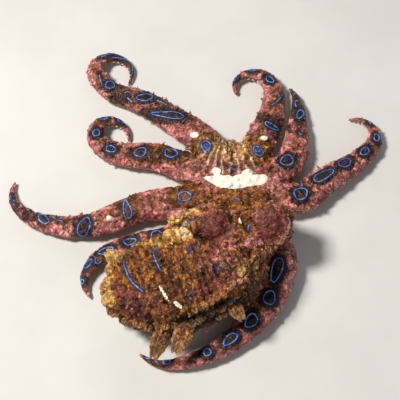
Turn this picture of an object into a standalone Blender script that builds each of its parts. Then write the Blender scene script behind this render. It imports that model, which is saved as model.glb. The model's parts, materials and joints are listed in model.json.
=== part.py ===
"""Blue-lined octopus at rest on the floor: mantle, head, eyes, siphon, web and eight suckered arms.

Sizes are in millimetres and become metres where a mesh is made. The floor is z = 0, the middle of the
head is over x = 0, y = 0, the mouth lies ahead of it towards +y, and the mantle trails to -x, -y. At the
end everything moves so that the origin is on the floor, under the middle of the whole.
"""

import math
import random

import bmesh
import bpy
from mathutils import Matrix, Vector

MM = 0.001
GAP = 0.3
UP = Vector((0.0, 0.0, 1.0))
FULL_TURN = 2.0 * math.pi

# Arms: all eight leave the mouth, run straight under the web and then bend in equal stretches
MOUTH = Vector((-1.0, 13.0, 0.0))
ARM_STRAIGHT = 14.0
ARM_ROOT_HALF = 4.8
ARM_TIP_HALF = 0.5
ARM_TAPER = 2.0
ARM_DEPTH = 1.15
ARM_START = 2.0
STUB_REACH = 19.0
LENGTHS_PER_ARM = 4
CURL_START = 0.62
CURL_LIFT = 0.25
CURL_LIFT_FULL = math.radians(15.0)

# name: bearing from the mouth, length, turn of each stretch, roll of the curled tip; angles in degrees
ARMS = {
    "l1": (111, 80, (31, -1, 20, -44, -130, -112), 50),
    "l2": (142, 61, (17, 19, -23, -62, -112, -80), 50),
    "l3": (184, 69, (7, 19, -30, -17, -35, -65), 40),
    "l4": (220, 52, (-24, -9, 8, 18, 44, 60), -45),
    "r1": (70, 57, (-6, 9, 14, 42, 75, 108), -50),
    "r2": (36, 46, (23, 21, 4, 2, 12, 25), -25),
    "r3": (0, 58, (45, -10, 0, 20, 60, 80), -40),
    "r4": (308, 73, (-45, -21, -18, -13, -23, -56), 35),
}

# Half of an arm's section, as shares of its half width and of its depth, from the sole to the back
SECTION_HALF = ((0.60, 0.0), (0.99, 0.30), (0.88, 0.70), (0.42, 0.98))
SECTION_PIVOT = 0.45
SECTION_STEP = 0.62
SECTION_STEP_LEAST = 0.9

# Suckers in two rows, as shares of the arm's half width; distances along the arm in millimetres
SUCKER_SIDES = 6
SUCKER_RIM = 0.31
SUCKER_NECK = 0.24
SUCKER_DROP = 0.30
SUCKER_FLOOR = 0.10
SUCKER_ROW = 0.40
SUCKER_SINK = 0.45
SUCKER_CUP = 0.60
SUCKER_STEP = 0.80
SUCKER_STEP_LEAST = 0.75
SUCKER_FIRST = 7.5
SUCKER_LAST = 1.2
SUCKER_TWIST = 0.7

# Web: a low cone between the arms, scalloped from arm to arm, with a tongue at the front
WEB_TOP = 7.0
WEB_EDGE_TOP = 2.4
WEB_SOLE = 0.9
WEB_REACH = 17.0
WEB_DIP = 3.6
WEB_TONGUE = 3.0
WEB_TONGUE_NARROWNESS = 6
WEB_SLOPE = 0.9
WEB_RINGS = 5
WEB_SOLE_RINGS = (2, 5)
WEB_SPOKES = 48
LIP_RADIUS = 2.4
LIP_THICK = 1.0

# Head, cut level from the crown of arms
HEAD_YAW = math.radians(3.0)
HEAD_CENTRE = Vector((-0.3, 1.5, 8.3))
HEAD_HALF = Vector((8.8, 10.0, 5.6))
HEAD_FLOOR = 7.3
BULB_OFFSET = Vector((7.1, 0.0, 11.8))
BULB_RADIUS = 5.5
BROW_LEANS = (-0.45, 0.0, 0.45)
BROW_OUT = 0.45
BROW_HEIGHT = 1.1
BROW_WIDTH = 1.1

# Eyes: balls set in the outer side of each bulb, looking out and a little up
EYE_RADIUS = 3.0
EYE_OUT = 2.65
EYE_LOOK = Vector((0.95, -0.08, 0.30)).normalized()
LID_RADIUS = 2.6
LID_THICK = 0.75
LID_ALONG = 2.0
LID_SQUEEZE = 0.9

# Neck: a short oval tube from inside the head to the mantle's collar
NECK = Vector((-1.0, -8.5, 10.0))
NECK_HALF = (7.0, 5.0)
NECK_REACH = 7.0
NECK_SIDES = 18

# Mantle: egg-shaped sections along an arc from the neck, the first ones turned to face the head
MANTLE_ROUTE = (Vector((-1.0, -8.5, 0.0)), Vector((-12.0, -15.0, 0.0)), Vector((-32.5, -17.0, 0.0)))
COLLAR_FACING = math.radians(253.0)
COLLAR_SHARE = 0.36
# share of the route, half width, rise of the back, drop of the belly, height of the middle
MANTLE_SECTIONS = (
    (0.00, 7.9, 6.0, 5.6, 10.0),
    (0.05, 9.2, 7.0, 7.2, 10.0),
    (0.20, 11.8, 8.6, 9.8, 9.6),
    (0.45, 13.2, 9.3, 10.0, 9.1),
    (0.65, 12.8, 9.0, 9.5, 8.6),
    (0.80, 11.0, 7.9, 8.6, 8.0),
    (0.91, 8.0, 5.9, 6.6, 7.4),
    (0.97, 5.0, 3.8, 4.2, 7.0),
    (1.00, 2.4, 1.9, 2.0, 6.8),
)
MANTLE_RINGS = (0.0, 0.05, 0.12, 0.21, 0.32, 0.44, 0.56, 0.67, 0.77, 0.86, 0.92, 0.97, 1.0)
MANTLE_SIDES = 22

# Leaf-like skin flaps, in rows along the mantle; rows by their angle from its right side
FLAP_SIDES = 6
FLAP_SINK = 1.1
FLAP_TIP = 0.3
FLAP_FLATNESS = 0.5
FLAP_SEED = 7
MANTLE_FLAPS = 20
MANTLE_FLAP_SPAN = (0.14, 0.92)
MANTLE_FLAP_ROWS = (14.0, 166.0, 50.0, 134.0, 90.0)
MANTLE_FLAP_HEIGHTS = (1.2, 2.0)
MANTLE_FLAP_WIDTHS = (1.0, 1.5)

# Siphon: a tapered open tube under the left eye
SIPHON_ROOT = Vector((-7.0, 2.4, 9.2))
SIPHON_WAY = Vector((-0.98, 0.12, 0.06)).normalized()
SIPHON_LENGTH = 10.5
SIPHON_ROOT_RADIUS = 2.5
SIPHON_MOUTH_RADIUS = 1.55
SIPHON_BORE = 0.9
SIPHON_BORE_TAPER = 0.7
SIPHON_DEPTH = 4.5
SIPHON_SIDES = 12

CUTTER_REACH = 60.0
SMOOTH_UNDER = math.radians(50.0)
SCRAP_MERGE = 1e-7

# name: base colour and roughness
SKINS = {
    "mantle skin": ((0.34, 0.16, 0.14, 1.0), 0.45),
    "web skin": ((0.40, 0.19, 0.18, 1.0), 0.45),
    "arm skin": ((0.42, 0.20, 0.19, 1.0), 0.45),
    "siphon skin": ((0.62, 0.50, 0.36, 1.0), 0.45),
    "eye": ((0.30, 0.16, 0.05, 1.0), 0.15),
}


def clear_scene():
    for obj in list(bpy.data.objects):
        bpy.data.objects.remove(obj)


def material(name, colour, roughness):
    made = bpy.data.materials.new(name)
    made.use_nodes = True
    shader = made.node_tree.nodes["Principled BSDF"]
    shader.inputs["Base Color"].default_value = colour
    shader.inputs["Roughness"].default_value = roughness
    shader.inputs["Metallic"].default_value = 0.0
    return made


def collection(name):
    made = bpy.data.collections.new(name)
    bpy.context.scene.collection.children.link(made)
    return made


def object_from(bm, name, home):
    """An object from a bmesh in millimetres, with its faces turned outwards."""
    bmesh.ops.recalc_face_normals(bm, faces=bm.faces)
    bm.transform(Matrix.Scale(MM, 4))
    mesh = bpy.data.meshes.new(name)
    bm.to_mesh(mesh)
    bm.free()
    obj = bpy.data.objects.new(name, mesh)
    home.objects.link(obj)
    return obj


def smooth_step(x):
    x = min(1.0, max(0.0, x))
    return x * x * (3.0 - 2.0 * x)


def circle_angles(count):
    return [FULL_TURN * k / count for k in range(count)]


def loft(rings, name, home):
    """A closed solid through rings of points, each ring with the same number of points."""
    bm = bmesh.new()
    rows = [[bm.verts.new(point) for point in ring] for ring in rings]
    count = len(rows[0])
    for row, following in zip(rows, rows[1:]):
        for i in range(count):
            j = (i + 1) % count
            bm.faces.new((row[i], row[j], following[j], following[i]))
    bm.faces.new(reversed(rows[0]))
    bm.faces.new(rows[-1])
    bmesh.ops.triangulate(bm, faces=[face for face in bm.faces if len(face.verts) > 4])
    return object_from(bm, name, home)


def ellipsoid(centre, half, turn, name, home, segments=18, rings=11):
    """A UV sphere stretched to half sizes, turned about z and moved to its centre."""
    bm = bmesh.new()
    bmesh.ops.create_uvsphere(bm, u_segments=segments, v_segments=rings, radius=1.0)
    stretch = Matrix.Diagonal((*half, 1.0))
    bm.transform(Matrix.Translation(centre) @ Matrix.Rotation(turn, 4, "Z") @ stretch)
    return object_from(bm, name, home)


def ball(centre, radius, name, home, segments=18, rings=11):
    return ellipsoid(centre, Vector((radius, radius, radius)), 0.0, name, home, segments, rings)


def torus(centre, axis, radius, thick, squeeze, name, home):
    """A torus round an axis, squeezed across it, used for lips and eyelids."""
    bpy.ops.mesh.primitive_torus_add(
        major_radius=radius * MM,
        minor_radius=thick * MM,
        major_segments=14,
        minor_segments=6,
    )
    obj = bpy.context.object
    obj.name = name
    turn = axis.to_track_quat("Z", "Y").to_matrix().to_4x4()
    narrowed = Matrix.Diagonal((1.0, squeeze, 1.0, 1.0))
    obj.data.transform(Matrix.Translation(centre * MM) @ turn @ narrowed)
    for owner in list(obj.users_collection):
        owner.objects.unlink(obj)
    home.objects.link(obj)
    return obj


def tube(root, way, length, radius, end_radius, name, home):
    """A tapered round bar from its root along a direction."""
    bm = bmesh.new()
    bmesh.ops.create_cone(
        bm,
        cap_ends=True,
        segments=SIPHON_SIDES,
        radius1=radius,
        radius2=end_radius,
        depth=length,
    )
    turn = way.to_track_quat("Z", "Y").to_matrix().to_4x4()
    bm.transform(Matrix.Translation(root + way * (length / 2.0)) @ turn)
    return object_from(bm, name, home)


def skin_flap(root, way, across, height, width, name, home):
    """A leaf-like skin flap that stands along a direction, broad across it and sunk at its root."""
    bm = bmesh.new()
    bmesh.ops.create_cone(
        bm,
        cap_ends=True,
        segments=FLAP_SIDES,
        radius1=width,
        radius2=width * FLAP_TIP,
        depth=height + FLAP_SINK,
    )
    back = way.cross(across).normalized()
    side = back.cross(way)
    turn = Matrix((side, back, way)).transposed().to_4x4()
    rise = Matrix.Translation((0.0, 0.0, (height - FLAP_SINK) / 2.0))
    flat = Matrix.Diagonal((1.0, FLAP_FLATNESS, 1.0, 1.0))
    bm.transform(Matrix.Translation(root) @ turn @ flat @ rise)
    return object_from(bm, name, home)


def boolean(obj, operation, operand):
    """Applies one Boolean with an object, or with all the objects of a collection."""
    modifier = obj.modifiers.new(operation.lower(), "BOOLEAN")
    modifier.operation = operation
    modifier.solver = "EXACT"
    if isinstance(operand, bpy.types.Collection):
        modifier.operand_type = "COLLECTION"
        modifier.collection = operand
    else:
        modifier.object = operand
    bpy.context.view_layer.update()
    evaluated = obj.evaluated_get(bpy.context.evaluated_depsgraph_get())
    mesh = bpy.data.meshes.new_from_object(evaluated)
    obj.modifiers.clear()
    obj.data = mesh


def keep_largest(obj):
    """Drops every surface of the mesh but the largest."""
    bm = bmesh.new()
    bm.from_mesh(obj.data)
    bmesh.ops.remove_doubles(bm, verts=bm.verts, dist=SCRAP_MERGE)
    unseen = set(bm.verts)
    islands = []
    while unseen:
        reached = [unseen.pop()]
        for vert in reached:
            for edge in vert.link_edges:
                other = edge.other_vert(vert)
                if other in unseen:
                    unseen.remove(other)
                    reached.append(other)
        islands.append(reached)
    islands.sort(key=len, reverse=True)
    for island in islands[1:]:
        bmesh.ops.delete(bm, geom=island, context="VERTS")
    bm.to_mesh(obj.data)
    bm.free()


def finish(obj, skin):
    obj.data.materials.clear()
    obj.data.materials.append(skin)
    obj.data.shade_smooth()
    obj.data.set_sharp_from_angle(angle=SMOOTH_UNDER)


def joined(name, pieces, parts, scrap, skin):
    """One closed body from a list of pieces, by one Boolean union on a collection."""
    first, others = pieces[0], pieces[1:]
    for piece in others:
        parts.objects.unlink(piece)
        scrap.objects.link(piece)
    if others:
        boolean(first, "UNION", scrap)
    for piece in others:
        bpy.data.objects.remove(piece)
    keep_largest(first)
    first.name = name
    finish(first, skin)
    return first


def as_cutter(obj):
    obj.hide_render = True
    obj.display_type = "WIRE"
    return obj


def parted(source, name, cutters, parts, skin):
    """A copy of a solid with the cutters taken away."""
    obj = source.copy()
    obj.data = source.data.copy()
    obj.name = name
    parts.objects.link(obj)
    for cutter in cutters:
        boolean(obj, "DIFFERENCE", cutter)
    keep_largest(obj)
    finish(obj, skin)
    return obj


class Arm:
    """One arm's route on the floor, its size along the route and the frame of its sections."""

    STEP = 0.25

    def __init__(self, bearing, length, turns, roll):
        self.length = length
        self.bearing = math.radians(bearing)
        self.tip_roll = math.radians(roll)
        stretch = (length - ARM_STRAIGHT) / len(turns)
        self.table = []
        x, y, heading = MOUTH.x, MOUTH.y, self.bearing
        for i in range(int(length / self.STEP) + 2):
            s = i * self.STEP
            self.table.append((x, y, heading))
            if s >= ARM_STRAIGHT:
                k = min(len(turns) - 1, int((s - ARM_STRAIGHT) / stretch))
                heading += math.radians(turns[k]) * self.STEP / stretch
            x += math.cos(heading) * self.STEP
            y += math.sin(heading) * self.STEP

    def route(self, s):
        """Place on the floor and heading, s millimetres from the mouth."""
        i = min(len(self.table) - 2, int(s / self.STEP))
        part = s / self.STEP - i
        x, y, heading = (p + (q - p) * part for p, q in zip(self.table[i], self.table[i + 1]))
        return Vector((x, y, 0.0)), heading

    def half(self, s):
        """Half the arm's width."""
        share = s / self.length
        return ARM_TIP_HALF + (ARM_ROOT_HALF - ARM_TIP_HALF) * (1.0 - share**ARM_TAPER)

    def roll(self, s):
        """How far the curled tip turns about its own length, so that its suckers face inwards."""
        share = s / self.length
        return self.tip_roll * smooth_step((share - CURL_START) / (1.0 - CURL_START))

    def outline(self, s):
        """The section as (side, height) pairs, counted from the middle of the sole."""
        half, depth = self.half(s), ARM_DEPTH * self.half(s)
        right = [(u * half, v * depth) for u, v in SECTION_HALF]
        return right + [(-u, v) for u, v in reversed(right)]

    def frame(self, s):
        """The matrix that takes (side, along, height) of the section at s to its place."""
        half, roll = self.half(s), self.roll(s)
        pivot = SECTION_PIVOT * ARM_DEPTH * half
        drop = SUCKER_DROP * half
        reach = (SUCKER_ROW + SUCKER_RIM) * half
        points = self.outline(s) + [(-reach, -drop), (reach, -drop)]
        lowest = min(u * math.sin(roll) + (v - pivot) * math.cos(roll) for u, v in points)
        place, heading = self.route(s)
        place.z = CURL_LIFT * smooth_step(abs(roll) / CURL_LIFT_FULL) - lowest
        facing = Matrix.Rotation(heading - math.pi / 2, 4, "Z")
        rolled = Matrix.Rotation(-roll, 4, "Y")
        return Matrix.Translation(place) @ facing @ rolled @ Matrix.Translation(-pivot * UP)

    def ring(self, s):
        frame = self.frame(s)
        return [frame @ Vector((u, 0.0, v)) for u, v in self.outline(s)]

    def sucker_places(self):
        """Distances along the arm of the suckers, nearer together as the arm thins."""
        places = []
        s = SUCKER_FIRST
        while s < self.length - SUCKER_LAST:
            places.append(s)
            s += SUCKER_STEP * self.half(s) + SUCKER_STEP_LEAST
        return places

    def cuts(self):
        """Where the arm is parted: at the web, then midway between suckers, then the tip."""
        places = self.sucker_places()
        middles = [(a + b) / 2.0 for a, b in zip(places, places[1:])]
        free = self.length - STUB_REACH
        wanted = [STUB_REACH + free * i / LENGTHS_PER_ARM for i in range(LENGTHS_PER_ARM)]
        return [min(middles, key=lambda m: abs(m - w)) for w in wanted] + [self.length]


def arm_solid(arm, start, end, name, home):
    """A length of arm with flat ends and sections closer together towards the tip."""
    places = [start]
    while places[-1] < end:
        places.append(places[-1] + max(SECTION_STEP_LEAST, SECTION_STEP * arm.half(places[-1])))
    places[-1] = end
    if len(places) > 2 and places[-1] - places[-2] < SECTION_STEP_LEAST / 2.0:
        del places[-2]
    return loft([arm.ring(s) for s in places], name, home)


def sucker(arm, index, s, name, home):
    """A short cup on a neck, its rim parallel to the sole and its root sunk in the arm."""
    half = arm.half(s)
    frame = arm.frame(s)
    side = SUCKER_ROW * half * (1 if index % 2 else -1)
    bm = bmesh.new()

    def circle(radius, height):
        turns = [angle + index * SUCKER_TWIST for angle in circle_angles(SUCKER_SIDES)]
        points = [(side + radius * math.cos(t), radius * math.sin(t), height) for t in turns]
        return [bm.verts.new(frame @ Vector(point)) for point in points]

    drop = SUCKER_DROP * half
    root = circle(SUCKER_NECK * half, SUCKER_SINK * half)
    rim = circle(SUCKER_RIM * half, -drop)
    cup = circle(SUCKER_RIM * SUCKER_CUP * half, -drop)
    floor = bm.verts.new(frame @ Vector((side, 0.0, -SUCKER_FLOOR * half)))
    for k in range(SUCKER_SIDES):
        j = (k + 1) % SUCKER_SIDES
        bm.faces.new((root[k], root[j], rim[j], rim[k]))
        bm.faces.new((rim[k], rim[j], cup[j], cup[k]))
        bm.faces.new((cup[k], cup[j], floor))
    bm.faces.new(root)
    return object_from(bm, name, home)


def arm_nodes(name, arm, parts, scrap, skin):
    """The lengths of an arm past the web, each with its suckers."""
    cuts = arm.cuts()
    for number, (start, end) in enumerate(zip(cuts, cuts[1:]), 1):
        stop = end if number == LENGTHS_PER_ARM else end - GAP / 2.0
        pieces = [arm_solid(arm, start + GAP / 2.0, stop, "length", parts)]
        for index, s in enumerate(arm.sucker_places()):
            if start < s < end:
                pieces.append(sucker(arm, index, s, "cup", parts))
        joined(f"arm_{name}_{number}", pieces, parts, scrap, skin)


def arm_root_pieces(arm, parts):
    """The arm under the web, up to its first cut, and its suckers."""
    end = arm.cuts()[0] - GAP / 2.0
    pieces = [arm_solid(arm, ARM_START, end, "root", parts)]
    for index, s in enumerate(arm.sucker_places()):
        if s < end:
            pieces.append(sucker(arm, index, s, "cup", parts))
    return pieces


def web_reach(angle, bearings):
    """How far the web's edge is from the mouth in a direction."""
    ordered = sorted(bearing % FULL_TURN for bearing in bearings)
    for i, here in enumerate(ordered):
        span = (ordered[(i + 1) % len(ordered)] - here) % FULL_TURN
        share = ((angle - here) % FULL_TURN) / span
        if share <= 1.0:
            arch = math.sin(math.pi * share)
            if here < math.pi / 2.0 < here + span:
                return WEB_REACH + WEB_TONGUE * arch**WEB_TONGUE_NARROWNESS
            return WEB_REACH - WEB_DIP * arch
    return WEB_REACH


def web_solid(bearings, home):
    """A low cone with a flat sole and a scalloped edge."""
    bm = bmesh.new()
    angles = [angle + math.pi / WEB_SPOKES for angle in circle_angles(WEB_SPOKES)]

    def row(share, height):
        places = []
        for angle in angles:
            reach = web_reach(angle, bearings) * share
            places.append(MOUTH + Vector((reach * math.cos(angle), reach * math.sin(angle), height)))
        return [bm.verts.new(place) for place in places]

    def cover(middle, rows):
        for k in range(WEB_SPOKES):
            j = (k + 1) % WEB_SPOKES
            bm.faces.new((middle, rows[0][k], rows[0][j]))
            for near, far in zip(rows, rows[1:]):
                bm.faces.new((near[k], far[k], far[j], near[j]))

    tops = []
    for ring in range(1, WEB_RINGS + 1):
        fall = (ring / WEB_RINGS) ** WEB_SLOPE
        tops.append(row(ring / WEB_RINGS, WEB_TOP + (WEB_EDGE_TOP - WEB_TOP) * fall))
    soles = [row(ring / WEB_RINGS, WEB_SOLE) for ring in WEB_SOLE_RINGS]
    cover(bm.verts.new(MOUTH + WEB_TOP * UP), tops)
    cover(bm.verts.new(MOUTH + WEB_SOLE * UP), soles)
    for k in range(WEB_SPOKES):
        j = (k + 1) % WEB_SPOKES
        bm.faces.new((tops[-1][k], soles[-1][k], soles[-1][j], tops[-1][j]))
    return object_from(bm, "web", home)


def in_head(offset, side):
    """A point of the head, mirrored to the side and turned with it. Side is -1 for left."""
    turned = Matrix.Rotation(HEAD_YAW, 4, "Z")
    return turned @ Vector((offset.x * side, offset.y, offset.z))


def bulb_centre(side):
    return in_head(BULB_OFFSET, side)


def eye_look(side):
    return in_head(EYE_LOOK, side)


def eye_centre(side):
    return bulb_centre(side) + eye_look(side) * EYE_OUT


def eye_bulb_pieces(side, parts):
    """The bulb that carries an eye, its lids and the flaps of its brow."""
    look = eye_look(side)
    rim = eye_centre(side) + look * LID_ALONG
    pieces = [
        ball(bulb_centre(side), BULB_RADIUS, "bulb", parts, 14, 9),
        torus(rim, look, LID_RADIUS, LID_THICK, LID_SQUEEZE, "lid", parts),
    ]
    forward = in_head(Vector((0.0, 1.0, 0.0)), 1)
    for lean in BROW_LEANS:
        way = in_head(Vector((BROW_OUT, lean, 1.0)), side).normalized()
        root = bulb_centre(side) + way * BULB_RADIUS
        pieces.append(skin_flap(root, way, forward, BROW_HEIGHT, BROW_WIDTH, "brow", parts))
    return pieces


def neck_solid(parts):
    """The neck, which runs a little past the collar and is cut there."""
    along = Vector((math.cos(COLLAR_FACING), math.sin(COLLAR_FACING), 0.0))
    across = Vector((math.sin(COLLAR_FACING), -math.cos(COLLAR_FACING), 0.0)) * NECK_HALF[0]
    rise = UP * NECK_HALF[1]
    rings = []
    for reach in (-NECK_REACH, GAP):
        middle = NECK + along * reach
        angles = circle_angles(NECK_SIDES)
        rings.append([middle + across * math.cos(a) + rise * math.sin(a) for a in angles])
    return loft(rings, "neck", parts)


def slab(low, high, turn, place, name, home):
    """A box between two corners, turned about z and moved, used as a cutter."""
    bm = bmesh.new()
    bmesh.ops.create_cube(bm, size=1.0)
    size, middle = high - low, (high + low) / 2.0
    bm.transform(Matrix.Translation(middle) @ Matrix.Diagonal((*size, 1.0)))
    bm.transform(Matrix.Translation(place) @ Matrix.Rotation(turn, 4, "Z"))
    return as_cutter(object_from(bm, name, home))


def head_and_crown(arms, parts, scrap, cutters, skins):
    """The head above a level cut and the crown of arms below it, parted from one joined solid."""
    pieces = [web_solid([arm.bearing for arm in arms.values()], parts)]
    pieces.append(ellipsoid(HEAD_CENTRE, HEAD_HALF, HEAD_YAW, "skull", parts))
    pieces.append(torus(MOUTH + WEB_SOLE * UP, UP, LIP_RADIUS, LIP_THICK, 1.0, "lips", parts))
    pieces.append(neck_solid(parts))
    for side in (-1, 1):
        pieces += eye_bulb_pieces(side, parts)
    for arm in arms.values():
        pieces += arm_root_pieces(arm, parts)
    whole = joined("whole", pieces, parts, scrap, skins["mantle skin"])

    far = CUTTER_REACH
    low, high = Vector((-far, -far, -far)), Vector((far, far, far))
    head_low = Vector((far, far, HEAD_FLOOR + GAP / 2.0))
    crown_high = Vector((-far, -far, HEAD_FLOOR - GAP / 2.0))
    neck_end = Vector((-GAP, -far, -far))
    below = slab(low, head_low, 0.0, Vector(), "below_head", cutters)
    above = slab(crown_high, high, 0.0, Vector(), "above_crown", cutters)
    behind = slab(neck_end, high, COLLAR_FACING, NECK, "behind_neck", cutters)
    sockets = []
    for side in (-1, 1):
        room = ball(eye_centre(side), EYE_RADIUS + GAP, "socket", cutters, 18, 12)
        sockets.append(as_cutter(room))
    parted(whole, "head", [below, behind, *sockets], parts, skins["mantle skin"])
    parted(whole, "web_and_arm_roots", [above, behind], parts, skins["web skin"])
    bpy.data.objects.remove(whole)


def eye_node(name, side, parts, skin):
    eye = ball(eye_centre(side), EYE_RADIUS, name, parts, 16, 10)
    finish(eye, skin)


def siphon_node(parts, cutters, skin):
    """The siphon, open at its mouth and hollowed at its root to fit the head."""
    end = SIPHON_ROOT + SIPHON_WAY * SIPHON_LENGTH
    siphon = tube(
        SIPHON_ROOT,
        SIPHON_WAY,
        SIPHON_LENGTH,
        SIPHON_ROOT_RADIUS,
        SIPHON_MOUTH_RADIUS,
        "siphon",
        parts,
    )
    inner = end - SIPHON_WAY * SIPHON_DEPTH
    bore_end = SIPHON_BORE * (2.0 - SIPHON_BORE_TAPER)
    bore_start = SIPHON_BORE * SIPHON_BORE_TAPER
    bore = tube(inner, SIPHON_WAY, 2.0 * SIPHON_DEPTH, bore_start, bore_end, "siphon_bore", cutters)
    skull_room = HEAD_HALF + Vector((GAP, GAP, GAP))
    skull = ellipsoid(HEAD_CENTRE, skull_room, HEAD_YAW, "siphon_skull_room", cutters)
    bulb = ball(bulb_centre(-1), BULB_RADIUS + GAP, "siphon_bulb_room", cutters)
    for cutter in (bore, skull, bulb):
        boolean(siphon, "DIFFERENCE", as_cutter(cutter))
    keep_largest(siphon)
    finish(siphon, skin)


def mantle_axis(share):
    """A point of the mantle's middle line in plan, and the way its section faces."""
    start, bend, end = MANTLE_ROUTE
    rest = 1.0 - share
    place = start * rest * rest + bend * (2.0 * rest * share) + end * share * share
    way = (bend - start) * rest + (end - bend) * share
    heading = math.atan2(way.y, way.x) % FULL_TURN
    turned = smooth_step(share / COLLAR_SHARE)
    return place, COLLAR_FACING + (heading - COLLAR_FACING) * turned


def mantle_size(share):
    """Half width, rise, drop and height of the middle at a share of the route."""
    for low, high in zip(MANTLE_SECTIONS, MANTLE_SECTIONS[1:]):
        if share <= high[0]:
            part = max(0.0, (share - low[0]) / (high[0] - low[0]))
            return [a + (b - a) * part for a, b in zip(low[1:], high[1:])]
    return list(MANTLE_SECTIONS[-1][1:])


def mantle_point(share, angle, grow=0.0):
    """A point of the mantle's surface; angle 0 is its right side and a quarter turn its back."""
    place, heading = mantle_axis(share)
    half, rise, drop, middle = mantle_size(share)
    across = Vector((math.sin(heading), -math.cos(heading), 0.0))
    tall = rise + grow if math.sin(angle) > 0.0 else drop
    height = max(0.0, middle + tall * math.sin(angle))
    return place + across * ((half + grow) * math.cos(angle)) + UP * height


def mantle_node(parts, scrap, skin):
    """The mantle, its belly flat on the floor, with flaps along its flanks and back."""
    angles = circle_angles(MANTLE_SIDES)
    rings = [[mantle_point(share, angle) for angle in angles] for share in MANTLE_RINGS]
    pieces = [loft(rings, "sac", parts)]
    draw = random.Random(FLAP_SEED)
    first, last = MANTLE_FLAP_SPAN
    for i in range(MANTLE_FLAPS):
        share = first + (last - first) * (i + draw.random()) / MANTLE_FLAPS
        row = MANTLE_FLAP_ROWS[i % len(MANTLE_FLAP_ROWS)]
        angle = math.radians(row + draw.uniform(-7.0, 7.0))
        root = mantle_point(share, angle)
        way = (mantle_point(share, angle, 1.0) - root).normalized()
        across = mantle_point(share + 0.02, angle) - root
        height, width = draw.uniform(*MANTLE_FLAP_HEIGHTS), draw.uniform(*MANTLE_FLAP_WIDTHS)
        pieces.append(skin_flap(root, way, across, height, width, "flap", parts))
    joined("mantle", pieces, parts, scrap, skin)


def centre_on_floor(parts):
    """Moves the whole so that the origin is on the floor, under the middle of its box."""
    points = [vert.co for obj in parts.objects for vert in obj.data.vertices]
    low = Vector([min(point[i] for point in points) for i in range(3)])
    high = Vector([max(point[i] for point in points) for i in range(3)])
    shift = Vector((-(low.x + high.x) / 2.0, -(low.y + high.y) / 2.0, -low.z))
    for obj in parts.objects:
        obj.data.transform(Matrix.Translation(shift))


def main():
    clear_scene()
    parts = collection("octopus")
    scrap = collection("joining")
    cutters = collection("cutters")
    skins = {name: material(name, *facts) for name, facts in SKINS.items()}
    arms = {name: Arm(*facts) for name, facts in ARMS.items()}
    for name, arm in arms.items():
        arm_nodes(name, arm, parts, scrap, skins["arm skin"])
    head_and_crown(arms, parts, scrap, cutters, skins)
    eye_node("eye_left", -1, parts, skins["eye"])
    eye_node("eye_right", 1, parts, skins["eye"])
    siphon_node(parts, cutters, skins["siphon skin"])
    mantle_node(parts, scrap, skins["mantle skin"])
    centre_on_floor(parts)


main()
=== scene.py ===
"""Looks of the blue-lined octopus: one mottled skin over all its flesh, with blue lines, papillae,
skin fringes, suckers and eyes, on a pale floor and seen as in the photograph.

Sizes are in millimetres, in the frame in which the octopus was designed: the floor is z = 0, and the
middle of the head is over x = 0, y = 0. Each finished piece is moved and scaled into the model's frame.
"""

import json
import math
import random

import bpy
import numpy as np
from mathutils import Matrix, Vector, kdtree, noise
from mathutils.bvhtree import BVHTree

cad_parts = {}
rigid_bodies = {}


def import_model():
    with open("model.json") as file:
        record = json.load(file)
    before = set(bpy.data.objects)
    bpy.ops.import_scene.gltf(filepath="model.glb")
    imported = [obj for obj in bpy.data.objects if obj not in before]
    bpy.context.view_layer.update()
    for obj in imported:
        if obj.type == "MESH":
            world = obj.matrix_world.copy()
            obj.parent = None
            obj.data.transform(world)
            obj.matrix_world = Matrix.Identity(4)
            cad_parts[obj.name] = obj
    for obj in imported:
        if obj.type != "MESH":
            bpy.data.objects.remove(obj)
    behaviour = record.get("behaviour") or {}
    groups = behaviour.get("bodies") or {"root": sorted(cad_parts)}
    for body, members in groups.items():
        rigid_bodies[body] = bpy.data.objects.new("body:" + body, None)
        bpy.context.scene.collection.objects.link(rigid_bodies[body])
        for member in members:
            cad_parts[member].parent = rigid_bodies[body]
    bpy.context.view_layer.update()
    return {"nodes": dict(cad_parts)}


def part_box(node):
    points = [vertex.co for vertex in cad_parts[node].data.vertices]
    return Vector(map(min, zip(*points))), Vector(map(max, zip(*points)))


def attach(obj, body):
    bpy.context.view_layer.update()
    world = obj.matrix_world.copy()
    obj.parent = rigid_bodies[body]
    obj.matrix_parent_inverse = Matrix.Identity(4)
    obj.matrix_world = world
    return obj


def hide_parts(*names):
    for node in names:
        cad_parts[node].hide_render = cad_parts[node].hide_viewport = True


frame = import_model()

MM = 0.001
UP = Vector((0.0, 0.0, 1.0))
FULL_TURN = 2.0 * math.pi
QUARTER = math.pi / 2.0

# Arms: all eight leave the mouth, run straight under the web and then bend in equal stretches
MOUTH = Vector((-1.0, 13.0, 0.0))
ARM_STRAIGHT = 14.0
ARM_ROOT_HALF = 4.8
ARM_TIP_HALF = 0.5
ARM_TAPER = 2.0
ARM_DEPTH = 1.15
ARM_START = 2.0
CURL_START = 0.62
CURL_LIFT = 0.25
CURL_LIFT_FULL = math.radians(15.0)
ARM_SIDES = 24
ARM_RINGS = 100

# name: bearing from the mouth, length, turn of each stretch, roll of the curled tip; angles in degrees
ARMS = {
    "l1": (111, 80, (31, -1, 20, -44, -130, -112), 50),
    "l2": (142, 61, (17, 19, -23, -62, -112, -80), 50),
    "l3": (184, 69, (7, 19, -30, -17, -35, -65), 40),
    "l4": (220, 52, (-24, -9, 8, 18, 44, 60), -45),
    "r1": (70, 57, (-6, 9, 14, 42, 75, 108), -50),
    "r2": (36, 46, (23, 21, 4, 2, 12, 25), -25),
    "r3": (0, 58, (45, -10, 0, 20, 60, 80), -40),
    "r4": (308, 73, (-45, -21, -18, -13, -23, -56), 35),
}

# An arm's section, as shares of its half width and of its depth
SECTION_WIDEST = 0.36
SECTION_WIDTH = 0.99
SOLE_SQUARENESS = 0.7
SECTION_PIVOT = 0.45

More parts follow.
